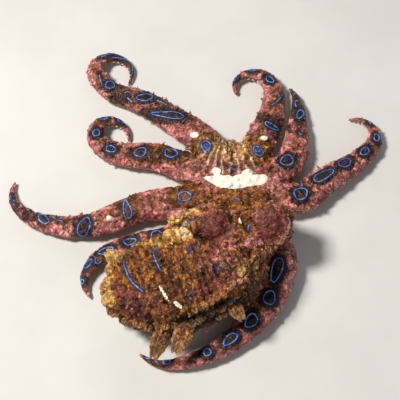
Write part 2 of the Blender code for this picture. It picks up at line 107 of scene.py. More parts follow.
# Suckers in two rows, as shares of the arm's half width
SUCKER_SIDES = 10
SUCKER_RIM = 0.31
SUCKER_DROP = 0.30
SUCKER_ROW = 0.40
SUCKER_STEP = 0.35
SUCKER_STEP_LEAST = 0.30
SUCKER_FIRST = 5.5
SUCKER_LAST = 0.8

# Web: a low cone between the arms, scalloped from arm to arm, with a tongue at the front
WEB_TOP = 7.0
WEB_EDGE_TOP = 2.4
WEB_SOLE = 0.9
WEB_REACH = 17.0
WEB_DIP = 3.6
WEB_TONGUE = 3.0
WEB_TONGUE_NARROWNESS = 6
WEB_SLOPE = 0.9
LIP_RADIUS = 2.4
LIP_THICK = 1.0

# Head, bulbs and eyes
HEAD_YAW = math.radians(3.0)
HEAD_CENTRE = Vector((-0.3, 1.5, 8.3))
HEAD_HALF = Vector((8.8, 10.0, 5.6))
BULB_OFFSET = Vector((7.1, 0.0, 11.8))
BULB_RADIUS = 5.5
EYE_RADIUS = 3.0
EYE_OUT = 2.65
EYE_LOOK = Vector((0.95, -0.08, 0.30)).normalized()
LID_RADIUS = 2.6
LID_THICK = 0.75
LID_ALONG = 2.0
LID_SQUEEZE = 0.9
NECK = Vector((-1.0, -8.5, 10.0))
NECK_HALF = (7.0, 5.0)
NECK_REACH = 7.0
NECK_PAST = 3.0

# Mantle: egg-shaped sections along an arc from the neck, the first ones turned to face the head
MANTLE_ROUTE = (Vector((-1.0, -8.5, 0.0)), Vector((-12.0, -15.0, 0.0)), Vector((-32.5, -17.0, 0.0)))
COLLAR_FACING = math.radians(253.0)
COLLAR_SHARE = 0.36
# share of the route, half width, rise of the back, drop of the belly, height of the middle
MANTLE_SECTIONS = (
    (0.00, 7.9, 6.0, 5.6, 10.0),
    (0.05, 9.2, 7.0, 7.2, 10.0),
    (0.20, 11.8, 8.6, 9.8, 9.6),
    (0.45, 13.2, 9.3, 10.0, 9.1),
    (0.65, 12.8, 9.0, 9.5, 8.6),
    (0.80, 11.0, 7.9, 8.6, 8.0),
    (0.91, 8.0, 5.9, 6.6, 7.4),
    (0.97, 5.0, 3.8, 4.2, 7.0),
    (1.00, 2.4, 1.9, 2.0, 6.8),
)
MANTLE_SIDES = 48
MANTLE_RINGS = 40

# Siphon: a tapered open tube under the left eye
SIPHON_ROOT = Vector((-7.0, 2.4, 9.2))
SIPHON_WAY = Vector((-0.98, 0.12, 0.06)).normalized()
SIPHON_LENGTH = 10.5
SIPHON_ROOT_RADIUS = 2.5
SIPHON_MOUTH_RADIUS = 1.55
SIPHON_BORE = 1.0
SIPHON_DEPTH = 4.5

# Skin: one remeshed surface over all the flesh
VOXEL = 0.42
SOFTENING = 5
FLOOR_GAP = 0.02
SEED = 11

# The photograph's view of the design frame, for 400 x 400 pixels
PHOTO_SIDE = 400.0
SIGHT_ELEVATION = math.radians(58.0)
SIGHT_REACH = 330.0
SIGHT_AIM = Vector((-10.0, 0.0, 12.0))
SIGHT_RAISE = 6.25
LENS = 118.8
SENSOR = 36.0

SIGHT = Vector((0.0, math.cos(SIGHT_ELEVATION), -math.sin(SIGHT_ELEVATION)))
SIGHT_UP = Vector((0.0, math.sin(SIGHT_ELEVATION), math.cos(SIGHT_ELEVATION)))
SIGHT_RIGHT = Vector((1.0, 0.0, 0.0))
CAMERA = SIGHT_AIM + SIGHT_UP * SIGHT_RAISE - SIGHT * SIGHT_REACH
PIXELS_PER_SLOPE = PHOTO_SIDE * LENS / SENSOR

# Closed blue rings as the photograph shows them:
# middle in pixels, length, breadth of the two ends, tilt in degrees
RINGS_SEEN = {
    "l1 long ring": ((167.5, 114.5), 33, (4, 8), -5),
    "l1 vertical ring": ((130.5, 69), 12, (4.5, 3.5), 95),
    "l1 small ring": ((110, 84.5), 9, (7, 7), 5),
    "l1 slanting ring": ((144.5, 97), 16, (6, 7.5), 5),
    "l1 base ring": ((206, 146.4), 12, (7, 10), 100),
    "l1 base inner ring": ((206, 145.5), 4.5, (3, 3), 100),
    "l2 ring": ((170.9, 152.7), 12.5, (8.5, 8.5), -3),
    "l3 web ring": ((184.5, 196), 12.5, (9, 9.5), 5),
    "l3 first ring": ((127, 209.5), 19, (9.5, 5.5), 102),
    "l3 second ring": ((84, 227), 20, (12, 10), 68),
    "l3 third ring": ((43.4, 218.8), 12, (8, 7), -42),
    "r1 base ring": ((258.3, 150.6), 11.5, (6, 8.5), -42),
    "r1 base inner ring": ((257.5, 150.2), 4, (3, 3), 0),
    "r1 long ring": ((272, 126), 16, (4.5, 3.5), -29),
    "r2 ring": ((300.2, 114), 9, (6, 6), 60),
    "r4 tip ring": ((166.7, 361.5), 7.5, (5, 5), 10),
}

# Open blue lines as the photograph shows them, each as points in pixels
LINES_SEEN = {
    "l1 top line": ((111, 58.3), (118, 57.6), (124.5, 59.3)),
    "l1 left line": ((99.5, 74), (100, 79), (102, 84.8)),
    "l1 right line": ((157, 100), (161.5, 102), (166.5, 105)),
    "l1 curl line": ((124.5, 92.6), (127.5, 91.6), (130.5, 92)),
    "l1 curl slant": ((127.5, 97.6), (130, 100), (132.6, 102.7)),
    "l3 tip line": ((52, 216), (57, 219.5), (63, 221)),
    "l3 end spot": ((13, 203), (15, 206)),
    "l4 hook": ((96.1, 257.5), (95.2, 261.7), (98.2, 263.8), (101.7, 261)),
    "web dash": ((227.8, 165.8), (232, 167.4), (236.1, 170.4)),
    "brow dash": ((232, 199.5), (236, 198.6), (240.1, 199.1)),
    "eye dot": ((189.8, 208.6), (191, 210.2)),
    "eye line": ((188.6, 219.4), (190.8, 223.8), (193.5, 227.8)),
    "valley dash": ((248.5, 224), (248.1, 230.5)),
    "long mantle line": ((123.8, 259.5), (124.3, 267), (130.9, 280.7), (143.6, 292.5)),
    "short mantle line": ((156.2, 246.8), (153.4, 252.7), (155.6, 260.1), (160.3, 270.3)),
    "r1 s line": ((271.2, 104.8), (276.8, 102), (283.2, 94.6), (286.9, 93.3)),
    "r1 hook": ((296.5, 107), (295, 103), (296.5, 100.5), (299, 101.5)),
    "r1 line": ((273.5, 134), (280, 138.5)),
    "r2 upper line": ((293.3, 96), (295.3, 92.8)),
    "r2 lower line": ((299, 132), (301, 134.4), (303, 132.6)),
    "r3 line": ((301, 180.6), (302.2, 186)),
    "r4 side line": ((234.4, 298), (235.8, 305)),
    "r4 bar": ((145, 357.5), (150.5, 359)),
    "r4 end line": ((155, 358), (156.5, 363)),
}

# Skin patches as the photograph shows them: middle in pixels, half length, half breadth, tilt, strength
# Dark skin patches, with painted shadow and shade where the entries below say so
DARK_AND_SHADOW_SEEN = {
    "round the l1 long ring": ((166, 115.5), 31, 10, -6, 0.95),
    "round the l1 tip": ((114, 84), 17, 9, 15, 0.9),
    "round the l1 top": ((121, 60), 10, 14, 0, 0.8),
    "round the l1 slant": ((150, 97), 20, 8, -8, 0.85),
    "l1 curl": ((120, 98), 14, 9, 0, 0.85),
    "round the l2 ring": ((166, 154), 31, 9, 2, 0.7),
    "r1 band": ((272, 122), 27, 8, -22, 0.9),
    "r2 end": ((300, 105), 14, 26, 0, 0.8),
    "l3 end": ((30, 212), 26, 12, 0, 0.75),
    "l3 second": ((84, 224), 14, 13, 0, 0.8),
    # painted shadow under the l3 arm's lower edge, between it and the mantle
    "l3 rim": ((118, 236), 40, 5, 8, 0.8),
    # painted shade over the left eye
    "left eye": ((195, 229), 5, 17, 24, 0.9),
    "neck": ((215, 268), 26, 9, 10, 0.62),
    "mantle middle": ((178, 280), 38, 22, 20, 0.50),
    # painted shadow below the mantle's rear edge
    "behind the mantle": ((203, 318), 62, 10, 22, 0.85),
    "mantle flank": ((134, 306), 26, 11, -40, 0.58),
    "rump": ((196, 298), 26, 8, 20, 0.45),
    # painted shade on the mantle's right end
    "mantle right end": ((250, 278), 8, 14, 0, 0.5),
}
BROWN_SEEN = {
    "l1 base": ((206, 146), 17, 15, 0, 0.9),
    "r1 base": ((258, 150), 17, 17, 0, 0.9),
    "l2 arm": ((160, 155), 38, 12, 0, 0.7),
    "l3 web": ((183, 194), 22, 15, 0, 0.9),
    "l3 first": ((127, 205), 14, 18, 0, 0.9),
    "web front": ((232, 158), 40, 14, 0, 0.45),
    "web under crescent": ((238, 200), 42, 13, 0, 0.9),
    "head valley": ((243, 222), 9, 30, 0, 0.9),
    "mantle back": ((160, 268), 44, 32, -20, 0.75),
    "neck": ((205, 262), 40, 20, 0, 0.6),
}
TAN_SEEN = {
    "cheek": ((184, 229), 13, 12, 20, 1.0),
    "collar top": ((160, 243), 30, 6, 4, 0.5),
    "mantle left edge": ((109, 275), 7, 34, -8, 0.72),
    "brow": ((196, 212), 6, 5, 0, 0.6),
    "l1 base": ((205, 146), 14, 13, 0, 0.38),
    "r1 base": ((259, 151), 15, 15, 0, 0.40),
    "fan": ((231, 146), 20, 20, 0, 0.56),
    "mantle specks": ((150, 262), 22, 16, 0, 0.2),
    "above the cheek": ((176, 221), 12, 5, 20, 0.7),
}
PLUM_SEEN = {
    "left bulb": ((215.5, 227.5), 15, 17, 10, 1.0),
    "right bulb": ((270.5, 224), 18, 18, 0, 1.0),
    "mantle flank": ((132, 303), 26, 13, -40, 0.8),
    "mantle hollow": ((208, 287), 17, 11, 25, 0.8),
    "mantle right": ((222, 267), 26, 11, 12, 0.6),
    "mantle under the streak": ((158, 308), 19, 8, -28, 0.6),
    "collar": ((228, 272), 12, 6, 25, 0.6),
}
MAUVE_SEEN = {
    "l1 flank": ((166, 134), 34, 7, 4, 1.0),
    "l1 upper flank": ((160, 99), 26, 5, 5, 0.8),
    "l2 flank": ((160, 174), 38, 8, 6, 1.0),
    "l3 flank": ((152, 205), 12, 26, -15, 1.0),
    "l3 end flank": ((104, 222), 8, 20, -15, 0.9),
    "mantle right": ((215, 262), 24, 9, 10, 0.55),
    "mantle shoulder": ((236, 280), 14, 10, 40, 0.45),
    "head back": ((232, 246), 36, 6, 10, 0.6),
    "left of the crescent": ((203, 172), 10, 12, 20, 0.7),
    "right of the crescent": ((272, 178), 10, 14, -20, 0.7),
}
WHITE_SEEN = {
    "left bump": ((216.5, 171.5), 4.5, 4, 0, 1.0),
    "right bump": ((247.5, 173), 5.5, 4, 0, 1.0),
    "left spot": ((194.5, 135.3), 4.4, 2.7, 0, 1.0),
    "right spot": ((263.8, 138.4), 3.7, 2.4, 0, 1.0),
    "l3 spot": ((109, 218), 2.6, 2.6, 0, 1.0),
    "mantle streak": ((164, 293), 10.0, 1.1, -58, 0.9),
    "mantle end spot": ((177.8, 304.5), 5.0, 2.2, -38, 1.0),
    "valley spot": ((240, 221), 1.6, 4, 15, 0.8),
}
BLUE_HAZE_SEEN = {
    "shoulder": ((190.8, 250.9), 6, 6, 0, 0.8),
    "collar": ((216.3, 270.3), 6, 5, 0, 0.8),
    "rump": ((189.3, 295.3), 6, 3.5, 45, 0.8),
}
FAN_APEX = (228, 122)

# Raised folds of the skin as the photograph shows them: points in pixels, height in mm, breadth in pixels
FOLDS_SEEN = {
    "mantle rim": (((119, 258), (116, 280), (125, 300), (142, 316)), 0.75, 4.0),
    "streak fold": (((147, 268), (157, 284), (169, 299), (184, 309)), 0.70, 3.5),
    "rump fold": (((184, 309), (206, 304), (222, 294), (232, 283), (246, 279)), 0.80, 3.5),
    "shoulder fold": (((176, 247), (188, 262), (196, 278), (198, 292)), 0.45, 4.0),
    "head back fold": (((222, 262), (240, 264), (258, 255), (274, 245), (288, 231)), 0.75, 3.5),
    "brow fold": (((206, 206), (226, 203), (243, 206), (262, 203), (280, 208)), 0.55, 3.5),
    "cheek fold": (((170, 238), (172, 226), (182, 217), (193, 213)), 0.70, 3.0),
    "web edge fold": (((203, 190), (222, 195), (244, 195), (264, 190), (276, 180)), 0.50, 3.5),
    "l3 fold": (((196, 203), (170, 218), (140, 226), (110, 232)), 0.35, 3.5),
}

# White crescent in front of the eyes, in pixels: middle, half length, half breadth, rise of its ends
CRESCENT_MIDDLE = (236.5, 182.3)
CRESCENT_HALF = (31.0, 7.2)
CRESCENT_RISE = 4.0

RING_LINE = 0.16
LINE_RISE = 0.20
LINE_FLATNESS = 0.45
LINE_LOSS = 0.45


# Small helpers


def smooth_step(x):
    x = min(1.0, max(0.0, x))
    return x * x * (3.0 - 2.0 * x)


def smooth_steps(x):
    x = np.clip(x, 0.0, 1.0)
    return x * x * (3.0 - 2.0 * x)


def deselect_all():
    for obj in list(bpy.context.selected_objects):
        obj.select_set(False)
    bpy.context.view_layer.objects.active = None


def make_active(obj):
    deselect_all()
    obj.select_set(True)
    bpy.context.view_layer.objects.active = obj


def apply_modifiers(obj):
    make_active(obj)
    for modifier in list(obj.modifiers):
        bpy.ops.object.modifier_apply(modifier=modifier.name)


def joined(pieces, name):
    make_active(pieces[0])
    for piece in pieces[1:]:
        piece.select_set(True)
    if len(pieces) > 1:
        bpy.ops.object.join()
    whole = bpy.context.view_layer.objects.active
    whole.name = name
    whole.data.name = name
    return whole


def points_of(obj):
    places = np.empty(len(obj.data.vertices) * 3)
    obj.data.vertices.foreach_get("co", places)
    return places.reshape(-1, 3)


def set_points(obj, places):
    obj.data.vertices.foreach_set("co", np.asarray(places, dtype=np.float32).ravel())
    obj.data.update()


def tree_of(objs):
    """One search tree over the faces of some meshes."""
    points, faces = [], []
    for obj in objs:
        start = len(points)
        points += [vert.co.copy() for vert in obj.data.vertices]
        faces += [[start + i for i in face.vertices] for face in obj.data.polygons]
    return BVHTree.FromPolygons(points, faces)


def ringed_bar(name, sides, rings):
    """A closed bar of radius 1 and length 1 along z, its rings extruded one by one."""
    deselect_all()
    bpy.ops.mesh.primitive_circle_add(vertices=sides, radius=1.0, fill_type="NGON")
    obj = bpy.context.object
    obj.name = name
    bpy.ops.object.mode_set(mode="EDIT")
    bpy.ops.mesh.select_all(action="SELECT")
    for _ in range(rings):
        step = {"value": (0.0, 0.0, 1.0 / rings)}
        bpy.ops.mesh.extrude_region_move(TRANSFORM_OT_translate=step)
    bpy.ops.mesh.select_all(action="SELECT")
    bpy.ops.mesh.normals_make_consistent(inside=False)
    bpy.ops.object.mode_set(mode="OBJECT")
    return obj


def moulded(obj, place):
    """Moves each point of a ringed bar to place(share of the length, angle round it)."""
    for vert in obj.data.vertices:
        vert.co = place(vert.co.z, math.atan2(vert.co.y, vert.co.x))
    make_active(obj)
    bpy.ops.object.mode_set(mode="EDIT")
    bpy.ops.mesh.select_all(action="SELECT")
    bpy.ops.mesh.normals_make_consistent(inside=False)
    bpy.ops.object.mode_set(mode="OBJECT")
    return obj


def copy_of(obj, name):
    made = obj.copy()
    made.data = obj.data.copy()
    made.name = name
    bpy.context.scene.collection.objects.link(made)
    return made


def ball(name, centre, half, turn=0.0, segments=48, rings=32):
    """A sphere primitive stretched to its half sizes and turned about z."""
    deselect_all()
    bpy.ops.mesh.primitive_uv_sphere_add(segments=segments, ring_count=rings, radius=1.0)
    obj = bpy.context.object
    obj.name = name
    stretch = Matrix.Diagonal((*half, 1.0))
    obj.data.transform(Matrix.Translation(centre) @ Matrix.Rotation(turn, 4, "Z") @ stretch)
    return obj


def hoop(name, centre, axis, radius, thick, squeeze=1.0):
    """A torus primitive round an axis, used for lids and lips."""
    deselect_all()
    bpy.ops.mesh.primitive_torus_add(
        major_radius=radius, minor_radius=thick, major_segments=40, minor_segments=14
    )
    obj = bpy.context.object
    obj.name = name
    turn = axis.to_track_quat("Z", "Y").to_matrix().to_4x4()
    obj.data.transform(Matrix.Translation(centre) @ turn @ Matrix.Diagonal((1.0, squeeze, 1.0, 1.0)))
    obj.location = (0.0, 0.0, 0.0)
    return obj


def cut_away(obj, cutter):
    modifier = obj.modifiers.new("cut", "BOOLEAN")
    modifier.operation = "DIFFERENCE"
    modifier.solver = "EXACT"
    modifier.object = cutter
    apply_modifiers(obj)


# The photograph's view


def sight_line(pixel):
    """The way from the camera through a pixel of the photograph."""
    x, y = pixel
    across = (x - PHOTO_SIDE / 2.0) / PIXELS_PER_SLOPE
    up = (PHOTO_SIDE / 2.0 - y) / PIXELS_PER_SLOPE
    return (SIGHT + SIGHT_RIGHT * across + SIGHT_UP * up).normalized()


def pixels_of(points):
    """Where points of the design frame lie in the photograph."""
    rel = points - np.array(CAMERA)
    depth = rel @ np.array(SIGHT)
    x = PHOTO_SIDE / 2.0 + PIXELS_PER_SLOPE * (rel @ np.array(SIGHT_RIGHT)) / depth
    y = PHOTO_SIDE / 2.0 - PIXELS_PER_SLOPE * (rel @ np.array(SIGHT_UP)) / depth
    return x, y


def patches(pixels, table, soft=0.45):
    """How strongly each pixel place lies in the ellipses of a table, with soft edges."""
    x, y = pixels
    total = np.zeros(len(x))
    for (cx, cy), length, breadth, tilt, strength in table.values():
        t = math.radians(tilt)
        dx, dy = x - cx, cy - y
        along = (dx * math.cos(t) + dy * math.sin(t)) / length
        across = (dy * math.cos(t) - dx * math.sin(t)) / breadth
        reach = np.sqrt(along**2 + across**2)
        total = np.maximum(total, strength * smooth_steps((1.0 + soft - reach) / (2.0 * soft)))
    return total


def folds(pixels, table):
    """How far each pixel place is raised by the folds of a table."""
    height = np.zeros(len(pixels[0]))
    for line, rise, breadth in table.values():
        tree = kdtree.KDTree(12 * (len(line) - 1) + 1)
        for k, (x, y) in enumerate(smooth_line(line, 12)):
            tree.insert((x, y, 0.0), k)
        tree.balance()
        away = np.array([tree.find((x, y, 0.0))[2] for x, y in zip(*pixels)])
        height = np.maximum(height, rise * np.exp(-(away / breadth) ** 2))
    return height


def crescent(pixels):
    """How strongly each pixel place lies in the white crescent."""
    x, y = pixels
    share = np.clip((x - CRESCENT_MIDDLE[0]) / CRESCENT_HALF[0], -1.2, 1.2)
    middle = CRESCENT_MIDDLE[1] - CRESCENT_RISE * share**2
    half = CRESCENT_HALF[1] * np.sqrt(np.clip(1.0 - share**2, 0.0, 1.0)) ** 0.8
    inside = (half + 1.0 - np.abs(y - middle)) / 3.0
    return smooth_steps(inside) * (np.abs(share) < 1.0)


# Arms


class Arm:
    """One arm's route on the floor, its size along the route and the frame of its sections."""

    STEP = 0.25

    def __init__(self, bearing, length, turns, roll):
        self.length = length
        self.bearing = math.radians(bearing)
        self.tip_roll = math.radians(roll)
        stretch = (length - ARM_STRAIGHT) / len(turns)
        self.table = []
        self.frames = {}
        x, y, heading = MOUTH.x, MOUTH.y, self.bearing
        for i in range(int(length / self.STEP) + 2):
            s = i * self.STEP
            self.table.append((x, y, heading))
            if s >= ARM_STRAIGHT:
                k = min(len(turns) - 1, int((s - ARM_STRAIGHT) / stretch))
                heading += math.radians(turns[k]) * self.STEP / stretch
            x += math.cos(heading) * self.STEP
            y += math.sin(heading) * self.STEP

    def route(self, s):
        """Place on the floor and heading, s millimetres from the mouth."""
        i = min(len(self.table) - 2, int(s / self.STEP))
        part = s / self.STEP - i
        x, y, heading = (p + (q - p) * part for p, q in zip(self.table[i], self.table[i + 1]))
        return Vector((x, y, 0.0)), heading

    def half(self, s):
        """Half the arm's width."""
        share = s / self.length
        return ARM_TIP_HALF + (ARM_ROOT_HALF - ARM_TIP_HALF) * (1.0 - share**ARM_TAPER)

    def roll(self, s):
        """How far the curled tip turns about its own length, so that its suckers face inwards."""
        share = s / self.length
        return self.tip_roll * smooth_step((share - CURL_START) / (1.0 - CURL_START))

    def section(self, s, angle):
        """A (side, height) point of the section, flat on its sole and round on its back."""
        half, depth = self.half(s), ARM_DEPTH * self.half(s)
        c, d = math.cos(angle), math.sin(angle)
        if d >= 0.0:
            return SECTION_WIDTH * c * half, (SECTION_WIDEST + (1.0 - SECTION_WIDEST) * d) * depth
        side = math.copysign(abs(c) ** SOLE_SQUARENESS, c)
        height = SECTION_WIDEST * (1.0 - abs(d) ** SOLE_SQUARENESS)
        return SECTION_WIDTH * side * half, height * depth

    def frame(self, s):
        """The matrix that takes (side, along, height) of the section at s to its place."""
        key = round(s, 3)
        if key in self.frames:
            return self.frames[key]
        half, roll = self.half(s), self.roll(s)
        pivot = SECTION_PIVOT * ARM_DEPTH * half
        drop = SUCKER_DROP * half
        reach = (SUCKER_ROW + SUCKER_RIM) * half
        points = [self.section(s, FULL_TURN * k / 12.0) for k in range(12)]
        points += [(-reach, -drop), (reach, -drop)]
        lowest = min(u * math.sin(roll) + (v - pivot) * math.cos(roll) for u, v in points)
        place, heading = self.route(s)
        place.z = CURL_LIFT * smooth_step(abs(roll) / CURL_LIFT_FULL) - lowest
        facing = Matrix.Rotation(heading - QUARTER, 4, "Z")
        rolled = Matrix.Rotation(-roll, 4, "Y")
        self.frames[key] = (
            Matrix.Translation(place) @ facing @ rolled @ Matrix.Translation(-pivot * UP)
        )
        return self.frames[key]

    def point(self, s, angle):
        side, height = self.section(s, angle)
        return self.frame(s) @ Vector((side, 0.0, height))

    def sucker_places(self):
        """Distances along the arm of the suckers, nearer together as the arm thins."""
        places = []
        s = SUCKER_FIRST
        while s < self.length - SUCKER_LAST:
            places.append(s)
            s += SUCKER_STEP * self.half(s) + SUCKER_STEP_LEAST
        return places


def arm_bodies(arms):
    bar = ringed_bar("arm_bar", ARM_SIDES, ARM_RINGS)
    bodies = []
    for name, arm in arms.items():
        reach = arm.length - ARM_START
        body = copy_of(bar, f"arm_{name}")
        bodies.append(moulded(body, lambda share, angle: arm.point(ARM_START + reach * share, angle)))
    bpy.data.objects.remove(bar)
    return bodies


# Web, head, mantle and siphon


def web_reach(angle, bearings):
    """How far the web's edge is from the mouth in a direction."""
    ordered = sorted(bearing % FULL_TURN for bearing in bearings)
    for i, here in enumerate(ordered):
        span = (ordered[(i + 1) % len(ordered)] - here) % FULL_TURN
        share = ((angle - here) % FULL_TURN) / span
        if share <= 1.0:
            arch = math.sin(math.pi * share)
            if here < QUARTER < here + span:
                return WEB_REACH + WEB_TONGUE * arch**WEB_TONGUE_NARROWNESS
            return WEB_REACH - WEB_DIP * arch
    return WEB_REACH


def web_body(arms):
    """The web, a sphere primitive pressed to a low cone with a scalloped rim."""
    bearings = [arm.bearing for arm in arms.values()]
    web = ball("web", Vector(), (1.0, 1.0, 1.0), 0.0, 96, 40)
    for vert in web.data.vertices:
        angle = math.atan2(vert.co.y, vert.co.x)
        share = math.hypot(vert.co.x, vert.co.y)
        reach = web_reach(angle, bearings) * share
        height = WEB_TOP + (WEB_EDGE_TOP - WEB_TOP) * share**WEB_SLOPE
        if vert.co.z < 0.0:
            height = WEB_SOLE
        vert.co = MOUTH + Vector((reach * math.cos(angle), reach * math.sin(angle), height))
    return web


def in_head(offset, side):
    """A point of the head, mirrored to the side and turned with it. Side is -1 for left."""
    turned = Matrix.Rotation(HEAD_YAW, 4, "Z")
    return turned @ Vector((offset.x * side, offset.y, offset.z))


def bulb_centre(side):
    return in_head(BULB_OFFSET, side)


def eye_look(side):
    return in_head(EYE_LOOK, side)


def eye_centre(side):
    return bulb_centre(side) + eye_look(side) * EYE_OUT


def head_bodies():
    """The skull and the bulbs with their lids, with room cut for the eyes."""
    skull = ball("skull", HEAD_CENTRE, HEAD_HALF, HEAD_YAW)
    bulbs, lids = [], []
    for side in (-1, 1):
        half = (BULB_RADIUS,) * 3
        bulb = ball("bulb", bulb_centre(side), half)
        socket = ball("socket", eye_centre(side), (EYE_RADIUS - 0.05,) * 3)
        cut_away(bulb, socket)
        cut_away(skull, socket)
        bpy.data.objects.remove(socket)
        bulbs.append(bulb)
        rim = eye_centre(side) + eye_look(side) * LID_ALONG
        lids.append(hoop("lid", rim, eye_look(side), LID_RADIUS, LID_THICK, LID_SQUEEZE))
    return skull, bulbs, lids


def neck_body():
    along = Vector((math.cos(COLLAR_FACING), math.sin(COLLAR_FACING), 0.0))
    across = Vector((math.sin(COLLAR_FACING), -math.cos(COLLAR_FACING), 0.0)) * NECK_HALF[0]

    def place(share, angle):
        middle = NECK + along * (-NECK_REACH + (NECK_REACH + NECK_PAST) * share)
        return middle + across * math.cos(angle) + UP * (NECK_HALF[1] * math.sin(angle))

    return moulded(ringed_bar("neck", 40, 6), place)


def mantle_axis(share):
    """A point of the mantle's middle line in plan, and the way its section faces."""
    start, bend, end = MANTLE_ROUTE
    rest = 1.0 - share
    place = start * rest * rest + bend * (2.0 * rest * share) + end * share * share
    way = (bend - start) * rest + (end - bend) * share
    heading = math.atan2(way.y, way.x) % FULL_TURN
    turned = smooth_step(share / COLLAR_SHARE)
    return place, COLLAR_FACING + (heading - COLLAR_FACING) * turned


def mantle_size(share):
    """Half width, rise, drop and height of the middle at a share of the route."""
    for low, high in zip(MANTLE_SECTIONS, MANTLE_SECTIONS[1:]):
        if share <= high[0]:
            part = max(0.0, (share - low[0]) / (high[0] - low[0]))
            return [a + (b - a) * part for a, b in zip(low[1:], high[1:])]
    return list(MANTLE_SECTIONS[-1][1:])


def mantle_point(share, angle, grow=0.0):
    """A point of the mantle's surface; angle 0 is its right side and a quarter turn its back."""
    place, heading = mantle_axis(share)
    half, rise, drop, middle = mantle_size(share)
    across = Vector((math.sin(heading), -math.cos(heading), 0.0))
    tall = rise + grow if math.sin(angle) > 0.0 else drop
    height = max(0.0, middle + tall * math.sin(angle))
    return place + across * ((half + grow) * math.cos(angle)) + UP * height


def mantle_body():
    return moulded(ringed_bar("mantle", MANTLE_SIDES, MANTLE_RINGS), mantle_point)


def siphon_body():
    """A tapered tube, bored from its mouth."""
    turn = SIPHON_WAY.to_track_quat("Z", "Y").to_matrix().to_4x4()
    put = Matrix.Translation(SIPHON_ROOT) @ turn

    def outside(share, angle):
        taper = SIPHON_ROOT_RADIUS + (SIPHON_MOUTH_RADIUS - SIPHON_ROOT_RADIUS) * share
        return put @ Vector((taper * math.cos(angle), taper * math.sin(angle), share * SIPHON_LENGTH))

    def inside(share, angle):
        away = SIPHON_LENGTH - SIPHON_DEPTH + share * (SIPHON_DEPTH + 1.0)
        radius = SIPHON_BORE * (0.6 + 0.5 * share)
        return put @ Vector((radius * math.cos(angle), radius * math.sin(angle), away))

    siphon = moulded(ringed_bar("siphon", 32, 12), outside)
    bore = moulded(ringed_bar("bore", 24, 4), inside)
    cut_away(siphon, bore)
    bpy.data.objects.remove(bore)
    return siphon


# The skin


def skin_over(flesh):
    """One even surface over all the flesh, softened where its pieces meet."""
    skin = joined(flesh, "skin")
    remesh = skin.modifiers.new("one surface", "REMESH")
    remesh.mode = "VOXEL"
    remesh.voxel_size = VOXEL
    soften = skin.modifiers.new("soften", "SMOOTH")
    soften.factor = 0.5
    soften.iterations = SOFTENING
    apply_modifiers(skin)
    keep_largest_part(skin)
    return skin


def keep_largest_part(obj):
    """Deletes the specks of surface that the remesh leaves beside or inside the main one."""
    make_active(obj)
    bpy.ops.object.mode_set(mode="EDIT")
    bpy.ops.mesh.select_mode(type="VERT")
    bpy.ops.mesh.select_all(action="DESELECT")
    bpy.ops.object.mode_set(mode="OBJECT")
    obj.data.vertices[len(obj.data.vertices) // 2].select = True
    bpy.ops.object.mode_set(mode="EDIT")
    bpy.ops.mesh.select_linked()
    bpy.ops.mesh.select_all(action="INVERT")
    bpy.ops.mesh.delete(type="VERT")
    bpy.ops.object.mode_set(mode="OBJECT")


def nearest_arm(points, arms):
    """For each point: the nearest arm's number, the distance along it, and side and height there."""
    tree = kdtree.KDTree(sum(int((arm.length - ARM_START) * 2) + 1 for arm in arms.values()))
    stations = []
    for number, arm in enumerate(arms.values()):
        for k in range(int((arm.length - ARM_START) * 2) + 1):
            s = ARM_START + k / 2.0
            matrix = arm.frame(s)
            pivot = matrix @ Vector((0.0, 0.0, SECTION_PIVOT * ARM_DEPTH * arm.half(s)))
            tree.insert(pivot, len(stations))
            stations.append((number, s, arm.half(s), np.array(matrix.inverted())))
    tree.balance()
    found = [tree.find(point)[1] for point in points]
    number = np.array([stations[i][0] for i in found])
    s = np.array([stations[i][1] for i in found])
    half = np.array([stations[i][2] for i in found])
    matrices = np.array([stations[i][3] for i in found])
    local = np.einsum("nij,nj->ni", matrices, np.c_[points, np.ones(len(points))])
    return number, s + local[:, 1], local[:, 0] / half, local[:, 2] / (ARM_DEPTH * half), half


def distances(points, tree, most=4.0):
    """How far each point is from a tree's surface, up to a limit."""
    far = np.full(len(points), most)
    for i, point in enumerate(points):
        found = tree.find_nearest(point, most)
        if found[3] is not None:
            far[i] = found[3]
    return far


def noise_at(points, scale, seed):
    shift = Vector((seed * 17.3, seed * 5.1, seed * 9.7))
    return np.array([noise.noise(Vector(point) * scale + shift) for point in points])


def cell_bumps(points, spacing, width, seed):
    """Rounded bumps, one in each cell of a random pattern, of unlike heights."""
    shift = Vector((seed * 3.1, seed * 8.3, seed * 4.7))
    heights = np.empty(len(points))
    for i, point in enumerate(points):
        near, cells = noise.voronoi(Vector(point) / spacing + shift)
        tall = 0.35 + 0.65 * abs(noise.cell(cells[0] * 7.0))
        heights[i] = tall * smooth_step(1.0 - near[0] / width)
    return heights


def closed_loop(middle, length, breadths, tilt, count=40):
    """The pixels of an egg-shaped ring."""
    t = math.radians(tilt)
    pixels = []
    for k in range(count):
        turn = FULL_TURN * k / count
        along = math.cos(turn) * length / 2.0
        part = (math.cos(turn) + 1.0) / 2.0
        across = math.sin(turn) * (breadths[0] + (breadths[1] - breadths[0]) * part) / 2.0
        wobble = 1.0 + 0.05 * math.sin(3.0 * turn + middle[0]) + 0.03 * math.sin(5.0 * turn + middle[1])
        along, across = along * wobble, across * wobble
        x = middle[0] + along * math.cos(t) - across * math.sin(t)
        y = middle[1] - along * math.sin(t) - across * math.cos(t)
        pixels.append((x, y))
    return pixels


def smooth_line(points, per_span=8):
    """Points on a smooth curve through a few points."""
    ends = [points[0], *points, points[-1]]
    line = []
    for a, b, c, d in zip(ends, ends[1:], ends[2:], ends[3:]):
        for k in range(per_span):
            t = k / per_span
            line.append(
                tuple(
                    0.5 * (2 * q + (r - p) * t + (2 * p - 5 * q + 4 * r - w) * t * t
                    + (3 * q - p - 3 * r + w) * t**3)
                    for p, q, r, w in zip(a, b, c, d)
                )
            )
    line.append(tuple(points[-1]))
    return line


